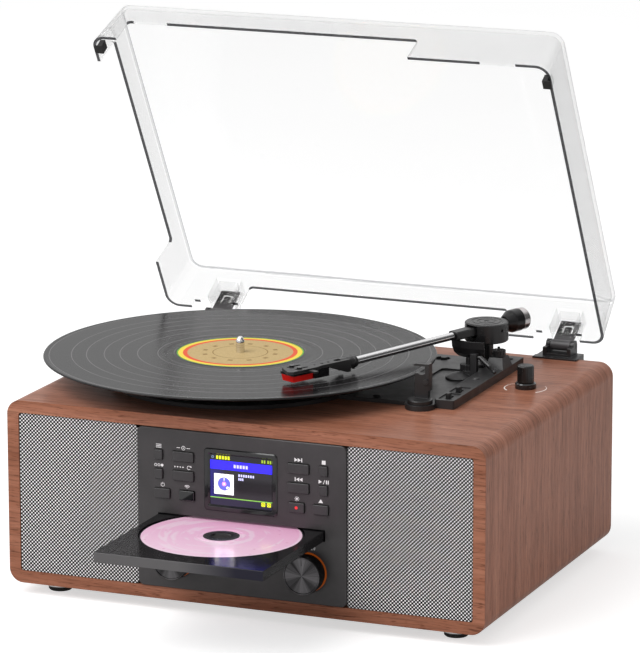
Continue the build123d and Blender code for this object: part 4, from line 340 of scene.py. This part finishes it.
def clear_acrylic():
    """Clear moulded acrylic with painted shade: dark cut edges, grey bends, darker walls and edge-on faces; a
    faint shadow as light passes through it.
    """
    s = Shader("clear_acrylic")
    normal = s.bump(s.noise(s.place(), 9.0, 2.0, 0.5), 0.4 * MM, 0.15)
    scuff = s.span(s.noise(s.place(), 240.0, 5.0, 0.7), 0.62, 0.85, 0.0, 0.06)
    glass = s.node("BsdfPrincipled", {"Base Color": (0.985, 0.985, 0.99, 1.0), "Roughness": scuff, "IOR": 1.49,
                                      "Transmission Weight": 1.0, "Normal": normal})
    facing = s.node("LayerWeight", {"Blend": 0.45}).outputs["Facing"]

    # Where the surface is, by its normal's share along the rim's way and by its place.
    normal_here = s.node("VectorTransform", {0: s.true_normal()}, vector_type="NORMAL",
                         convert_from="WORLD", convert_to="OBJECT").outputs[0]
    rimward = s.absolute(s.along(normal_here, RIM_WAY))
    near_rim = s.over(s.along(s.place(), RIM_WAY), RIM_REACH - CUT_RUN)
    from_middle = s.absolute(s.minus(s.parts(s.place())[0], CABINET.x))
    off_pocket = s.over(s.absolute(s.minus(from_middle, HINGE_X)), POCKET_HALF)
    cut_edge = s.times(s.times(near_rim, off_pocket), s.over(rimward, WALL_LIMIT))
    wall = s.under(rimward, WALL_LIMIT)
    bend = s.times(s.span(rimward, 0.40, 0.50), s.span(rimward, 0.78, 0.88, 1.0, 0.0))
    bend = s.times(bend, s.minus(1.0, near_rim))

    # Painted shade: the see-through colour darkens on faces seen edge-on, on the walls and bends, and most on
    # the cut edges.
    tone = s.ramp(facing, [(0.35, 0.985), (0.75, 0.95), (0.97, 0.68)])
    tone = s.mix(s.times(wall, 0.06), tone, grey(0.0))
    tone = s.mix(bend, tone, (0.70, 0.70, 0.71, 1.0))
    tone = s.mix(cut_edge, tone, (0.10, 0.10, 0.105, 1.0))
    thin = s.node("BsdfTransparent", {"Color": tone})
    glass_share = s.times(s.span(facing, 0.35, 0.9, 0.04, 0.5), s.span(cut_edge, 0.0, 1.0, 1.0, 0.3))
    seen = s.node("MixShader", {0: glass_share, 1: thin.outputs[0], 2: glass.outputs[0]})
    light = s.node("LightPath").outputs
    through = s.larger(light["Is Shadow Ray"], light["Is Diffuse Ray"])
    shadow = s.node("BsdfTransparent", {"Color": grey(0.93)})
    s.surface(s.node("MixShader", {0: through, 1: seen.outputs[0], 2: shadow.outputs[0]}))
    return s.material


def vinyl_record():
    """Record: fine grooves, a painted sheen that makes the gaps between the tracks paler, and a paper label in
    rings.
    """
    s = Shader("vinyl_record")
    r, angle = s.polar_round(RECORD_CENTRE)
    gaps = s.near(r, TRACK_GAPS[0], 0.0, GAP_HALF)
    for at in TRACK_GAPS[1:]:
        gaps = s.larger(gaps, s.near(r, at, 0.0, GAP_HALF))
    groove = s.noise(s.join(r, 0.0, 0.0), 5.0, 3.0, 0.8)
    band = s.noise(s.join(r, 0.0, 0.0), 0.16, 2.0, 0.6)
    vinyl = s.mix(s.span(band, 0.35, 0.65), rgb(16, 15, 16), rgb(25, 24, 25))
    # Painted sheen: the smooth gaps between the tracks are painted a paler grey.
    vinyl = s.mix(gaps, vinyl, rgb(104, 102, 103))

    paper_grain = s.noise(s.place(), 900.0, 4.0, 0.6)
    paper = s.mix(s.span(paper_grain, 0.3, 0.7), rgb(190, 163, 112), rgb(208, 182, 130))
    wheel = s.span(s.math("SINE", s.times(angle, DOTS_COUNT)), 0.55, 0.8)
    dots_ring = s.times(s.span(r, DOTS_FROM - DOTS_BLUR, DOTS_FROM + DOTS_BLUR),
                        s.span(r, DOTS_TO - DOTS_BLUR, DOTS_TO + DOTS_BLUR, 1.0, 0.0))
    printed = s.larger(s.times(wheel, dots_ring), s.near(r, LABEL_LINE, 0.3, 0.5))
    paper = s.mix(printed, paper, rgb(150, 118, 66))
    for width, colour in LABEL_BANDS:
        paper = s.mix(s.over(r, LABEL_RADIUS - width), paper, rgb(*colour))

    is_top = s.over(s.parts(s.true_normal())[2], 0.5)
    on_label = s.times(s.under(r, LABEL_RADIUS), is_top)
    shade = s.mix(on_label, vinyl, paper)
    gloss = s.plus(s.times(on_label, 0.36), s.span(groove, 0.3, 0.7, 0.17, 0.25))
    height = s.times(s.minus(1.0, on_label), s.plus(groove, s.times(gaps, 0.5)))
    return s.finish(Base_Color=shade, Roughness=gloss, Normal=s.bump(height, 0.012 * MM, 0.5), IOR=1.27)


def printed_disc():
    """Compact disc: pink print with pale sweeps and spots, painted lighter towards the front and given a faint
    painted glow, a dark clear hub and a narrow grey rim.
    """
    s = Shader("printed_disc")
    r, angle = s.polar_round(DISC_CENTRE)
    from_centre = s.minus(s.parts(s.place())[1], DISC_CENTRE.y)
    # Painted light: the pink is lighter towards the front of the disc.
    painted_light_fade = s.span(from_centre, -DISC_RADIUS * MM, DISC_RADIUS * MM)
    pink = s.mix(painted_light_fade, rgb(255, 220, 240), rgb(246, 174, 214))
    sweep = s.noise(s.join(s.times(r, 0.09), s.times(angle, 0.55), 0.4), 1.6, 2.0, 0.5, 0.6)
    print_colour = s.mix(s.times(s.span(sweep, 0.52, 0.60), 0.42), pink, rgb(255, 243, 250))
    cells = s.node("TexVoronoi", {"Vector": s.place(), "Scale": 105.0, "Randomness": 0.9})
    spot = s.times(s.span(cells.outputs["Distance"], 0.10, 0.13, 1.0, 0.0), s.span(r, SPOTS_FROM, SPOTS_FULL))
    print_colour = s.mix(s.times(spot, 0.5), print_colour, rgb(226, 150, 190))
    hub = s.mix(s.span(r, HUB_DARK, HUB_RADIUS), rgb(22, 21, 23), rgb(70, 68, 72))
    printed = s.times(s.over(r, HUB_RADIUS), s.under(r, PRINT_RADIUS))
    shade = s.mix(printed, hub, print_colour)
    gloss = s.span(s.noise(s.place(), 300.0, 3.0), 0.3, 0.7, 0.16, 0.24)
    # The print has a faint painted glow of its own.
    return s.finish(Base_Color=shade, Roughness=gloss, Coat_Weight=0.25, Emission_Color=shade,
                    Emission_Strength=s.times(printed, 0.10))


def spun_face(name, node):
    """A knob's turned metal: a painted sheen of bright and dark sectors round its axis, and fine rings."""
    low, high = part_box(node)
    s = Shader(name)
    x, _, z = s.parts(s.place())
    r, angle = s.polar(s.minus(x, (low.x + high.x) / 2), s.minus(z, (low.z + high.z) / 2))
    # Painted sheen on the front face: bright and dark sectors and a four-way cross round the axis, with fine
    # streaks everywhere.
    sector = s.noise(s.circle(angle, 1.9), 1.5, 3.0, 0.7)
    fine = s.noise(s.circle(angle, 60.0), 1.0, 2.0, 0.6)
    cross = s.span(s.math("COSINE", s.times(angle, 4.0)), -1.0, 1.0)
    on_face = s.over(s.absolute(s.parts(s.node("NewGeometry").outputs["Normal"])[1]), 0.9)
    painted_sheen = s.times(s.plus(s.times(sector, 0.7), s.times(cross, 0.35)), on_face)
    painted_sheen = s.plus(painted_sheen, s.times(s.minus(fine, 0.5), 0.5))
    shade = s.mix(s.span(painted_sheen, 0.25, 0.85), rgb(34, 33, 34), rgb(112, 110, 112))
    rings = s.noise(s.join(r, 0.0, 0.0), 9.0, 2.0, 0.6)
    tangent = s.node("Tangent", direction_type="RADIAL", axis="Y").outputs[0]
    normal = s.bump(rings, 0.006 * MM, 0.5, s.soft_edges(0.3 * MM))
    return s.finish(Base_Color=shade, Metallic=0.85, Roughness=0.34, Anisotropic=0.7, Tangent=tangent,
                    Normal=normal)


def two_tone(name, near, far, split):
    """Two metals on one arm piece, near and far of a distance from the arm's pivot. Each is (colour, metallic,
    roughness)."""
    s = Shader(name)
    part = s.parts(s.place())
    dx, dy = s.minus(part[0], PIVOT.x), s.minus(part[1], PIVOT.y)
    from_pivot = s.absolute(s.plus(s.times(dx, ARM_WAY.x), s.times(dy, ARM_WAY.y)))
    beyond = s.span(from_pivot, split, split + SPLIT_BLUR)
    lines = s.noise(s.scaled(s.place(), 60.0, 60.0, 400.0), 20.0, 4.0, 0.7)
    streak = s.span(lines, 0.3, 0.7, 0.9, 1.0)
    shade = s.mix(1.0, s.mix(beyond, near[0], far[0]), s.join(streak, streak, streak), "MULTIPLY")
    metallic, gloss = (s.span(beyond, 0.0, 1.0, near[i], far[i]) for i in (1, 2))
    return s.finish(Base_Color=shade, Metallic=metallic, Roughness=gloss, Normal=s.soft_edges(0.3 * MM))


def tray_gloss():
    """Tray: polished black, with a painted reflection on the front bar, paler grey turning to a violet sheen to
    the right.
    """
    s = Shader("tray_gloss")
    front = s.over(s.absolute(s.parts(s.true_normal())[1]), FRONTAL)
    cloud = s.noise(s.place(), 60.0, 2.0, 0.5)
    rightward = s.span(s.parts(s.place())[0], CABINET.x, CABINET.x + VIOLET_RUN)
    # Painted reflection: the front bar is painted paler grey, turning to a violet sheen to the right.
    bar_reflection = s.mix(rightward, rgb(92, 90, 91), rgb(12, 9, 30))
    black = s.mix(s.span(cloud, 0.3, 0.7), rgb(15, 14, 16), rgb(23, 22, 24))
    gloss = s.plus(s.times(front, 0.3), s.span(cloud, 0.3, 0.7, 0.12, 0.2))
    return s.finish(Base_Color=s.mix(front, black, bar_reflection), Roughness=gloss, Normal=s.soft_edges(0.3 * MM),
                    Specular_IOR_Level=0.3)


def lit_orange():
    """The knobs' light rings: orange plastic with a little even light of its own."""
    s = Shader("knob_light_orange")
    base = rgb(116, 58, 26)
    cloud = s.noise(s.place(), 900.0, 2.0, 0.5)
    shade = s.mix(s.span(cloud, 0.3, 0.7), shaded(base, 0.85), base)
    return s.finish(Base_Color=shade, Roughness=0.35, Emission_Color=rgb(220, 104, 26), Emission_Strength=0.2)


def felt():
    """Slip mat: short dark nap."""
    s = Shader("slip_mat_felt")
    nap = s.noise(s.place(), 1400.0, 5.0, 0.8)
    shade = s.mix(nap, rgb(14, 14, 15), rgb(44, 43, 45))
    return s.finish(Base_Color=shade, Roughness=0.95, Sheen_Weight=0.5, Normal=s.bump(nap, 0.3 * MM, 0.6))


def circuit():
    """Green circuit boards with a fine pattern of tracks."""
    s = Shader("circuit_board")
    tracks = s.node("TexVoronoi", {"Vector": s.place(), "Scale": 260.0, "Randomness": 0.6},
                    distance="MANHATTAN")
    shade = s.mix(s.span(tracks.outputs["Distance"], 0.2, 0.35), rgb(24, 92, 58), rgb(12, 60, 38))
    return s.finish(Base_Color=shade, Roughness=0.4)


def fibreboard():
    """Sanded fibreboard."""
    s = Shader("fibreboard")
    fleck = s.noise(s.place(), 900.0, 5.0, 0.75)
    shade = s.mix(fleck, rgb(96, 72, 50), rgb(160, 128, 92))
    return s.finish(Base_Color=shade, Roughness=0.85, Normal=s.bump(fleck, 0.1 * MM, 0.6))


PANEL = moulded("panel_plastic", rgb(55, 52, 53), 0.42, 0.02, 0.4)
BUTTON = moulded("button_plastic", rgb(52, 50, 51), 0.40, 0.02, 0.45)
BLACK = moulded("black_plastic", rgb(32, 31, 32), 0.36, 0.02, 0.35)
DECK = moulded("deck_plastic", rgb(37, 36, 37), 0.40, 0.03, 0.4)
GLOSS = moulded("gloss_black", rgb(20, 19, 21), 0.13, 0.004, 0.3, 0.3)
GREY = moulded("grey_plastic", rgb(74, 72, 74), 0.40, 0.02, 0.35)
DARK = moulded("dark_metal_plastic", rgb(24, 23, 24), 0.28, 0.01, 0.35)
KNOB = moulded("knob_plastic", rgb(15, 14, 14), 0.3, 0.01, 0.35)
RUBBER = moulded("rubber", rgb(28, 27, 27), 0.75, 0.06, 0.6)
WINDOW = moulded("dark_window", rgb(10, 10, 14), 0.06, 0.001, 0.2, 0.5)
PAPER = moulded("cone_paper", rgb(40, 38, 37), 0.85, 0.2, 0.3)
RED = moulded("red_plastic", rgb(232, 26, 20), 0.22, 0.004, 0.25, 0.2)
CHROME = metal("chrome", rgb(232, 231, 232), 0.05)
STEEL = metal("steel", rgb(170, 168, 166), 0.26, (20.0, 20.0, 400.0))
SILVER = metal("silver_aluminium", rgb(196, 194, 192), 0.24, (400.0, 20.0, 20.0))
FOOT = metal("foot_metal", rgb(244, 243, 243), 0.34)
ARM = two_tone("arm_metal", (rgb(26, 25, 26), 0.2, 0.3), (rgb(232, 231, 232), 1.0, 0.06), TUBE_SPLIT)
WEIGHT = two_tone("weight_metal", (rgb(24, 23, 24), 0.3, 0.3), (rgb(205, 200, 200), 1.0, 0.22), WEIGHT_SPLIT)

# The look of each CAD node. The keys on the panel, which aren't listed, have the button's.
LOOKS = {
    "cabinet_shell": walnut(), "foot_rings": FOOT, "foot_pads": RUBBER, "front_baffle": fibreboard(),
    "speaker_grilles": grille_weave(), "speaker_drivers": PAPER, "front_panel": PANEL, "display_bezel": GLOSS,
    "display_windows": WINDOW, "knob_light_rings": lit_orange(),
    "volume_knob": spun_face("volume_knob_metal", "volume_knob"),
    "tuning_knob": spun_face("tuning_knob_metal", "tuning_knob"),
    "electronics": circuit(), "rear_panel": BLACK, "rear_sockets": DARK, "cd_chassis": GREY,
    "cd_tray": tray_gloss(), "compact_disc": printed_disc(), "loading_gear": GREY, "deck_plate": DECK,
    "speed_switch": BLACK, "autostop_switch": BLACK, "platter_motor": STEEL, "motor_pulley": SILVER,
    "drive_belt": RUBBER, "bearing_housing": STEEL, "spindle": CHROME, "platter": SILVER, "slip_mat": felt(),
    "record": vinyl_record(), "arm_pillar": DARK, "arm_yoke": DARK, "arm_tube": ARM, "headshell": BLACK,
    "cartridge": GLOSS, "stylus": RED, "counterweight": WEIGHT, "lift_guide": DECK, "lift_cup": BLACK,
    "cue_lever": DARK, "rest_post": BLACK, "rest_clip": BLACK, "antiskate_dial": DARK, "top_control": GLOSS,
    "top_knob": KNOB, "dust_cover": clear_acrylic(), "lid_bumpers": RUBBER, "hinge_blades": GREY,
    "hinge_bases": BLACK,
}
for node_name, node in frame["nodes"].items():
    node.data.materials.clear()
    node.data.materials.append(LOOKS.get(node_name, BUTTON))


# Thin printed and lit marks. Shapes are lists of (u, v) corners in millimetres.
def box_shape(u0, v0, u1, v1):
    return [(u0, v0), (u1, v0), (u1, v1), (u0, v1)]


def cut_box(u0, v0, u1, v1, cut):
    """A box with its corners cut."""
    return [(u0 + cut, v0), (u1 - cut, v0), (u1, v0 + cut), (u1, v1 - cut),
            (u1 - cut, v1), (u0 + cut, v1), (u0, v1 - cut), (u0, v0 + cut)]


def two_boxes(u0, middle, u1, v0, v1):
    """Two boxes side by side that meet at middle."""
    return [box_shape(u0, v0, middle, v1), box_shape(middle, v0, u1, v1)]


def blocks(u, v, width, height, step, count):
    """A row of plain blocks, in place of words or figures."""
    return [box_shape(u + step * i, v, u + step * i + width, v + height) for i in range(count)]


def arc_band(u, v, inner, outer, start, end, steps=20, taper=0.0):
    """A ring's sector, thicker by taper at its end, as a row of four-sided shapes. Angles are in degrees."""
    def corner(share, is_outer):
        turn = radians(start + (end - start) * share)
        radius = outer + taper * share if is_outer else inner
        return (u + radius * cos(turn), v + radius * sin(turn))

    return [[corner(i / steps, False), corner(i / steps, True),
             corner((i + 1) / steps, True), corner((i + 1) / steps, False)] for i in range(steps)]


def round_shape(u, v, radius, corners=20):
    turns = [2 * pi * i / corners for i in range(corners)]
    return [(u + radius * cos(turn), v + radius * sin(turn)) for turn in turns]


def moved(shapes, u, v):
    return [[(a + u, b + v) for a, b in shape] for shape in shapes]


def add_object(name, data):
    piece = bpy.data.objects.new(name, data)
    bpy.context.scene.collection.objects.link(piece)
    return piece


def marks(name, shapes, place, thickness, material, body):
    """One mesh of thin plates: place(u, v, depth) gives a corner in the row frame, depth 0 the back."""
    corners, faces = [], []
    for shape in shapes:
        first, count = len(corners), len(shape)
        corners += [place(u, v, 0.0) for u, v in shape] + [place(u, v, thickness) for u, v in shape]
        faces.append(tuple(range(first + count - 1, first - 1, -1)))
        faces.append(tuple(range(first + count, first + 2 * count)))
        for i in range(count):
            j = (i + 1) % count
            faces.append((first + i, first + j, first + count + j, first + count + i))
    mesh = bpy.data.meshes.new(name)
    mesh.from_pydata(corners, [], faces)
    mesh.validate()
    mesh.materials.append(material)
    piece = add_object(name, mesh)
    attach(piece, body)


def on_front(depth_from):
    """Places a mark on a plane that faces the viewer: u and v are cabinet x and height in millimetres."""
    return lambda u, v, depth: Vector((CABINET.x + u * MM, depth_from - depth * MM, v * MM))


def middle_of(node):
    """The middle of a node on the front, as cabinet x and height in millimetres."""
    low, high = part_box(node)
    return (low.x + high.x) / 2 / MM - CABINET.x / MM, (low.z + high.z) / 2 / MM


def ink(name, colour, lit=0.0):
    """Printed or lit ink, a little uneven; lit gives it light of its own, which on the printed white marks is
    painted light.
    """
    s = Shader(name)
    uneven = s.span(s.noise(s.place(), 2200.0, 2.0, 0.6), 0.3, 0.7)
    shade = s.mix(uneven, shaded(colour, 0.88), colour)
    sockets = {"Base_Color": shade, "Roughness": 0.5}
    if lit:
        sockets.update(Emission_Color=shade, Emission_Strength=lit)
    return s.finish(**sockets)


# The display. Its picture is measured in millimetres from its lower left corner, and the thicknesses of its
# plates keep those that overlap in order.
PRINT_DEPTH = 0.05
SCREEN_W, SCREEN_H = 49.4, 38.3
GROUND_CUT = 0.3
BAND_LOW, BAND_TOP = 27.2, 34.0
RULE_LOW, RULE_TOP = 5.3, 6.0
COVER_LEFT, COVER_SEAM, COVER_RIGHT, COVER_LOW, COVER_TOP = 3.1, 11.0, 18.8, 8.3, 23.9
DISC_U, DISC_V = 11.1, 16.3
CLOCKS_U, CLOCKS_V, CLOCK_HALF, CLOCK_CUT = (42.5, 47.1), 3.6, 1.6, 0.5
FRONT_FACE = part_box("front_panel")[0].y
bezel_u, bezel_v = middle_of("display_bezel")
SCREEN_LEFT, SCREEN_BOTTOM = bezel_u - SCREEN_W / 2, bezel_v - SCREEN_H / 2
ON_GLASS = on_front(FRONT_FACE + 0.5 * MM)


def screen_ground():
    """The display's dark ground: blue at the left edge, black in the middle, a violet foot."""
    s = Shader("screen_ground")
    part = s.parts(s.place())
    u = s.times(s.minus(part[0], CABINET.x + SCREEN_LEFT * MM), 1 / MM)
    v = s.times(s.minus(part[2], SCREEN_BOTTOM * MM), 1 / MM)
    ground = s.mix(s.span(u, 0.0, 13.0), rgb(36, 28, 138), rgb(44, 42, 46))
    black = s.times(s.span(u, 14.0, 24.0), s.near(v, 15.5, 3.0, 7.0))
    ground = s.mix(black, ground, rgb(7, 7, 9))
    ground = s.mix(s.under(v, 5.2), ground, rgb(38, 36, 66))
    ground = s.mix(s.over(v, 34.2), ground, rgb(30, 29, 36))
    return s.finish(Base_Color=(0.004, 0.004, 0.006, 1.0), Roughness=0.25, Emission_Color=ground,
                    Emission_Strength=0.85)


def on_screen(name, shapes, colour, thickness=PRINT_DEPTH, lit=0.95):
    marks(name, moved(shapes, SCREEN_LEFT, SCREEN_BOTTOM), ON_GLASS, thickness, ink(name, colour, lit),
          "cabinet")


def screen():
    """The display: a header, a blue band, a picture of a disc, plain blocks for its lines, two clocks."""
    ground = cut_box(0, 0, SCREEN_W, SCREEN_H, GROUND_CUT)
    marks("screen_ground", moved([ground], SCREEN_LEFT, SCREEN_BOTTOM), ON_GLASS, 0.02, screen_ground(),
          "cabinet")
    on_screen("screen_band", two_boxes(0, SCREEN_W / 2, SCREEN_W, BAND_LOW, BAND_TOP), rgb(46, 34, 250), 0.04)
    on_screen("screen_header", blocks(4.8, 35.0, 1.6, 2.6, 2.3, 5), rgb(216, 226, 30))
    hours = blocks(41.2, 35.1, 1.2, 2.3, 1.9, 2)
    minutes = blocks(45.9, 35.1, 1.2, 2.3, 1.9, 2)
    on_screen("screen_time", hours + minutes, rgb(146, 176, 40))
    on_screen("screen_status", arc_band(2.0, 36.3, 0.5, 1.1, 0, 360, 16), rgb(96, 116, 140))
    title = blocks(18.9, 29.2, 1.6, 2.5, 2.4, 5)
    lines = blocks(22.6, 22.9, 1.2, 1.9, 1.9, 7) + blocks(22.6, 20.1, 1.0, 1.9, 1.5, 3)
    on_screen("screen_lines", title + lines, rgb(196, 196, 244))

    cover = two_boxes(COVER_LEFT, COVER_SEAM, COVER_RIGHT, COVER_LOW, COVER_TOP)
    on_screen("screen_cover", cover, rgb(248, 246, 252), 0.04)
    on_screen("screen_disc", arc_band(DISC_U, DISC_V, 1.6, 5.1, 0, 360, 36), rgb(92, 94, 196), 0.06)
    on_screen("screen_hub", arc_band(DISC_U, DISC_V, 0.6, 1.7, 0, 360, 24), rgb(232, 150, 206), 0.07)
    glints = arc_band(DISC_U, DISC_V, 3.0, 4.6, -62, -28, 6) + arc_band(DISC_U, DISC_V, 2.4, 4.6, 84, 96, 3)
    on_screen("screen_glint", glints, rgb(216, 220, 250), 0.08)

    on_screen("screen_rule", two_boxes(0, SCREEN_W / 2, SCREEN_W, RULE_LOW, RULE_TOP), rgb(118, 176, 70))
    badges, hands = [], []
    for u in CLOCKS_U:
        badges.append(cut_box(u - CLOCK_HALF, CLOCKS_V - CLOCK_HALF, u + CLOCK_HALF, CLOCKS_V + CLOCK_HALF,
                              CLOCK_CUT))
        hands += arc_band(u, CLOCKS_V, 0.95, 1.2, 0, 360, 16)
        hands += [box_shape(u - 0.15, 3.5, u + 0.15, 4.4), box_shape(u, 3.45, u + 0.7, 3.75)]
    on_screen("screen_clocks", badges, rgb(216, 222, 34))
    on_screen("screen_hands", hands, rgb(50, 50, 20), 0.07, 0.6)


# The pictogram over each key, its middle at the origin.
ARROW_HALF = 1.5
ARROW_LENGTH = ARROW_HALF * 1.7


def arrow(u, direction):
    """A triangle that starts at u and points right (1) or left (-1)."""
    foot, tip, head = (u, -ARROW_HALF), (u + direction * ARROW_LENGTH, 0), (u, ARROW_HALF)
    return [foot, tip, head] if direction > 0 else [head, tip, foot]


def rays(inner, outer, count):
    """Short tapered rays round the origin."""
    corners = ((-0.2, inner), (0.2, inner), (0.12, outer), (-0.12, outer))
    turns = [2 * pi * k / count for k in range(count)]
    return [[(cos(turn + aside) * radius, sin(turn + aside) * radius) for aside, radius in corners]
            for turn in turns]


PICTOGRAMS = {
    "next_button": [arrow(-3.2, 1), arrow(-0.6, 1), box_shape(2.2, -1.5, 3.0, 1.5)],
    "previous_button": [box_shape(-3.0, -1.5, -2.2, 1.5), arrow(0.6, -1), arrow(3.2, -1)],
    "stop_button": [box_shape(-1.5, -1.5, 1.5, 1.5)],
    "play_button": [arrow(-4.0, 1), [(-0.6, -1.5), (-0.1, -1.5), (1.1, 1.5), (0.6, 1.5)],
                    box_shape(1.8, -1.4, 2.6, 1.4), box_shape(3.2, -1.4, 4.0, 1.4)],
    "eject_button": [[(-1.8, -1.2), (1.8, -1.2), (0.0, 1.6)]],
    "menu_button": [box_shape(-2.2, v, 2.2, v + 0.5) for v in (-1.4, -0.25, 0.9)],
    "mode_button": arc_band(-2.6, 0, 0.7, 1.1, 0, 360, 16) + arc_band(0, 0, 0.7, 1.1, 0, 360, 16)
                   + [round_shape(2.6, 0, 1.1)],
    "info_button": arc_band(0, 0, 1.25, 1.6, 0, 360, 24) + [round_shape(0, 0, 0.45)]
                   + [box_shape(-5.4, -0.2, -2.6, 0.2), box_shape(2.6, -0.2, 5.4, 0.2)],
    "preset_button": [round_shape(-7.0 + 2.2 * i, 0, 0.55) for i in range(4)]
                     + arc_band(4.4, 0, 1.2, 1.6, 40, 320, 20) + [[(5.0, 0.4), (6.8, 0.4), (5.9, 1.7)]],
    "standby_button": arc_band(0, 0, 1.2, 1.6, 125, 415, 24) + [box_shape(-0.22, 0.3, 0.22, 1.9)],
    "light_button": [round_shape(0, 0, 0.8)] + rays(1.2, 1.9, 8),
}
PICTOGRAM_RISE = 6.5  # from a key's middle up to its pictogram's
RECEIVER_U, RECEIVER_RISE = -43.4, 6.2  # the remote receiver's sign, up from the standby key's middle
SPEAKER_U, SPEAKER_V = 56.9, 61.8  # the sign beside the volume knob


def panel_marks():
    """White pictograms over the keys and a knob, and the red dot on the light key."""
    shapes = []
    for key, drawing in PICTOGRAMS.items():
        u, v = middle_of(key)
        shapes += moved(drawing, u, v + PICTOGRAM_RISE)
    receiver = (arc_band(0, -1.0, 0.5, 0.9, 30, 150, 6) + arc_band(0, -1.0, 1.5, 1.9, 35, 145, 8)
                + arc_band(0, -1.0, 2.4, 2.8, 40, 140, 10))
    shapes += moved(receiver, RECEIVER_U, middle_of("standby_button")[1] + RECEIVER_RISE)
    speaker = [[(-2.0, -0.7), (-1.1, -0.7), (0.1, -1.7), (0.1, 1.7), (-1.1, 0.7), (-2.0, 0.7)]]
    speaker += arc_band(0.2, 0, 1.1, 1.4, -45, 45, 6) + arc_band(0.2, 0, 1.9, 2.2, -45, 45, 8)
    shapes += moved(speaker, SPEAKER_U, SPEAKER_V)
    # The white pictograms have a faint painted glow.
    marks("panel_pictograms", shapes, on_front(FRONT_FACE), PRINT_DEPTH,
          ink("panel_ink", rgb(238, 236, 236), 0.12), "cabinet")
    dot = moved([round_shape(0, 0, 0.75)] + arc_band(0, 0, 0.75, 1.1, 0, 360, 20), *middle_of("light_button"))
    marks("light_dot", dot, on_front(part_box("light_button")[0].y), PRINT_DEPTH,
          ink("light_dot_ink", rgb(232, 40, 44), 0.9), "light_button")


# The arcs round the top knob: radii and how much thicker each gets, in millimetres, and where each runs.
ARC_INNER, ARC_OUTER, ARC_TAPER = 15.6, 15.9, 1.0
ARC_RUNS = ((141, 229), (40, -43))


def top_marks():
    """Two tapered arcs printed on the wood round the top knob."""
    low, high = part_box("top_knob")
    u, v = (low.x + high.x) / 2 / MM, (low.y + high.y) / 2 / MM
    shapes = []
    for start, end in ARC_RUNS:
        shapes += arc_band(u, v, ARC_INNER, ARC_OUTER, start, end, taper=ARC_TAPER)
    top = shell_high.z
    # The arcs' ink has a faint painted glow.
    marks("top_arcs", shapes, lambda a, b, depth: Vector((a * MM, b * MM, top + depth * MM)), PRINT_DEPTH,
          ink("top_ink", rgb(238, 228, 222), 0.1), "cabinet")


screen()
panel_marks()
top_marks()


def floor():
    """A wide pale floor that reads white to the camera and keeps the object's shadow."""
    s = Shader("studio_floor")
    mottled = s.mix(s.noise(s.place(), 3.0), grey(0.66), grey(0.70))
    diffuse = s.node("BsdfDiffuse", {"Color": mottled})
    path = s.node("LightPath").outputs
    seen = s.larger(path["Is Camera Ray"], path["Is Transmission Ray"])
    level = s.plus(s.times(seen, FLOOR_GLOW), s.times(path["Is Glossy Ray"], FLOOR_GLOSS))
    shine = s.node("Emission", {"Color": grey(1.0), "Strength": level})
    s.surface(s.node("AddShader", {0: diffuse.outputs[0], 1: shine.outputs[0]}))
    mesh = bpy.data.meshes.new("studio_floor")
    half = FLOOR_HALF
    corners = [(-half, -half, 0), (half, -half, 0), (half, half, 0), (-half, half, 0)]
    mesh.from_pydata(corners, [], [(0, 1, 2, 3)])
    mesh.materials.append(s.material)
    piece = add_object("studio_floor", mesh)


def world():
    """White to the camera and through glass, plain light on the object, and in its gloss a studio that is
    brighter high up and dim on the right."""
    made = bpy.data.worlds.new("studio")
    bpy.context.scene.world = made
    made.use_nodes = True
    s = Shader(tree=made.node_tree)
    way = s.parts(s.node("TexCoord").outputs["Generated"])
    path = s.node("LightPath").outputs
    upper = s.span(way[2], 0.28, 0.42, WORLD_GLOSSY, WORLD_HIGHLIGHT)
    gloss = s.times(upper, s.span(way[0], 0.30, 0.75, 1.0, WORLD_DIM))
    light = s.blend(path["Is Glossy Ray"], WORLD_DIFFUSE, gloss)
    seen = s.larger(path["Is Camera Ray"], path["Is Transmission Ray"])
    background = made.node_tree.nodes["Background"]
    s.feed(background.inputs["Color"], grey(1.0))
    s.feed(background.inputs["Strength"], s.blend(seen, light, 1.0))


def lamp(name, at, target, size, power):
    data = bpy.data.lights.new(name, "AREA")
    data.shape = "RECTANGLE"
    data.size, data.size_y = size
    data.energy = power
    piece = add_object(name, data)
    piece.location = at
    piece.rotation_mode = "QUATERNION"
    piece.rotation_quaternion = (Vector(target) - Vector(at)).to_track_quat("-Z", "Y")


def camera():
    data = bpy.data.cameras.new("camera")
    data.lens = CAMERA_LENS
    data.sensor_width = CAMERA_SENSOR
    data.shift_x, data.shift_y = CAMERA_SHIFT
    data.clip_start, data.clip_end = CAMERA_CLIP
    piece = add_object("camera", data)
    piece.location = CAMERA_AT
    piece.rotation_euler = (radians(CAMERA_TILT), radians(CAMERA_ROLL), radians(CAMERA_YAW))
    bpy.context.scene.camera = piece


floor()
world()
lamp("key_light", KEY_AT, KEY_AIM, KEY_SIZE, KEY_POWER)
lamp("fill_light", FILL_AT, FILL_AIM, FILL_SIZE, FILL_POWER)
camera()
bpy.context.scene.view_settings.view_transform = "Standard"
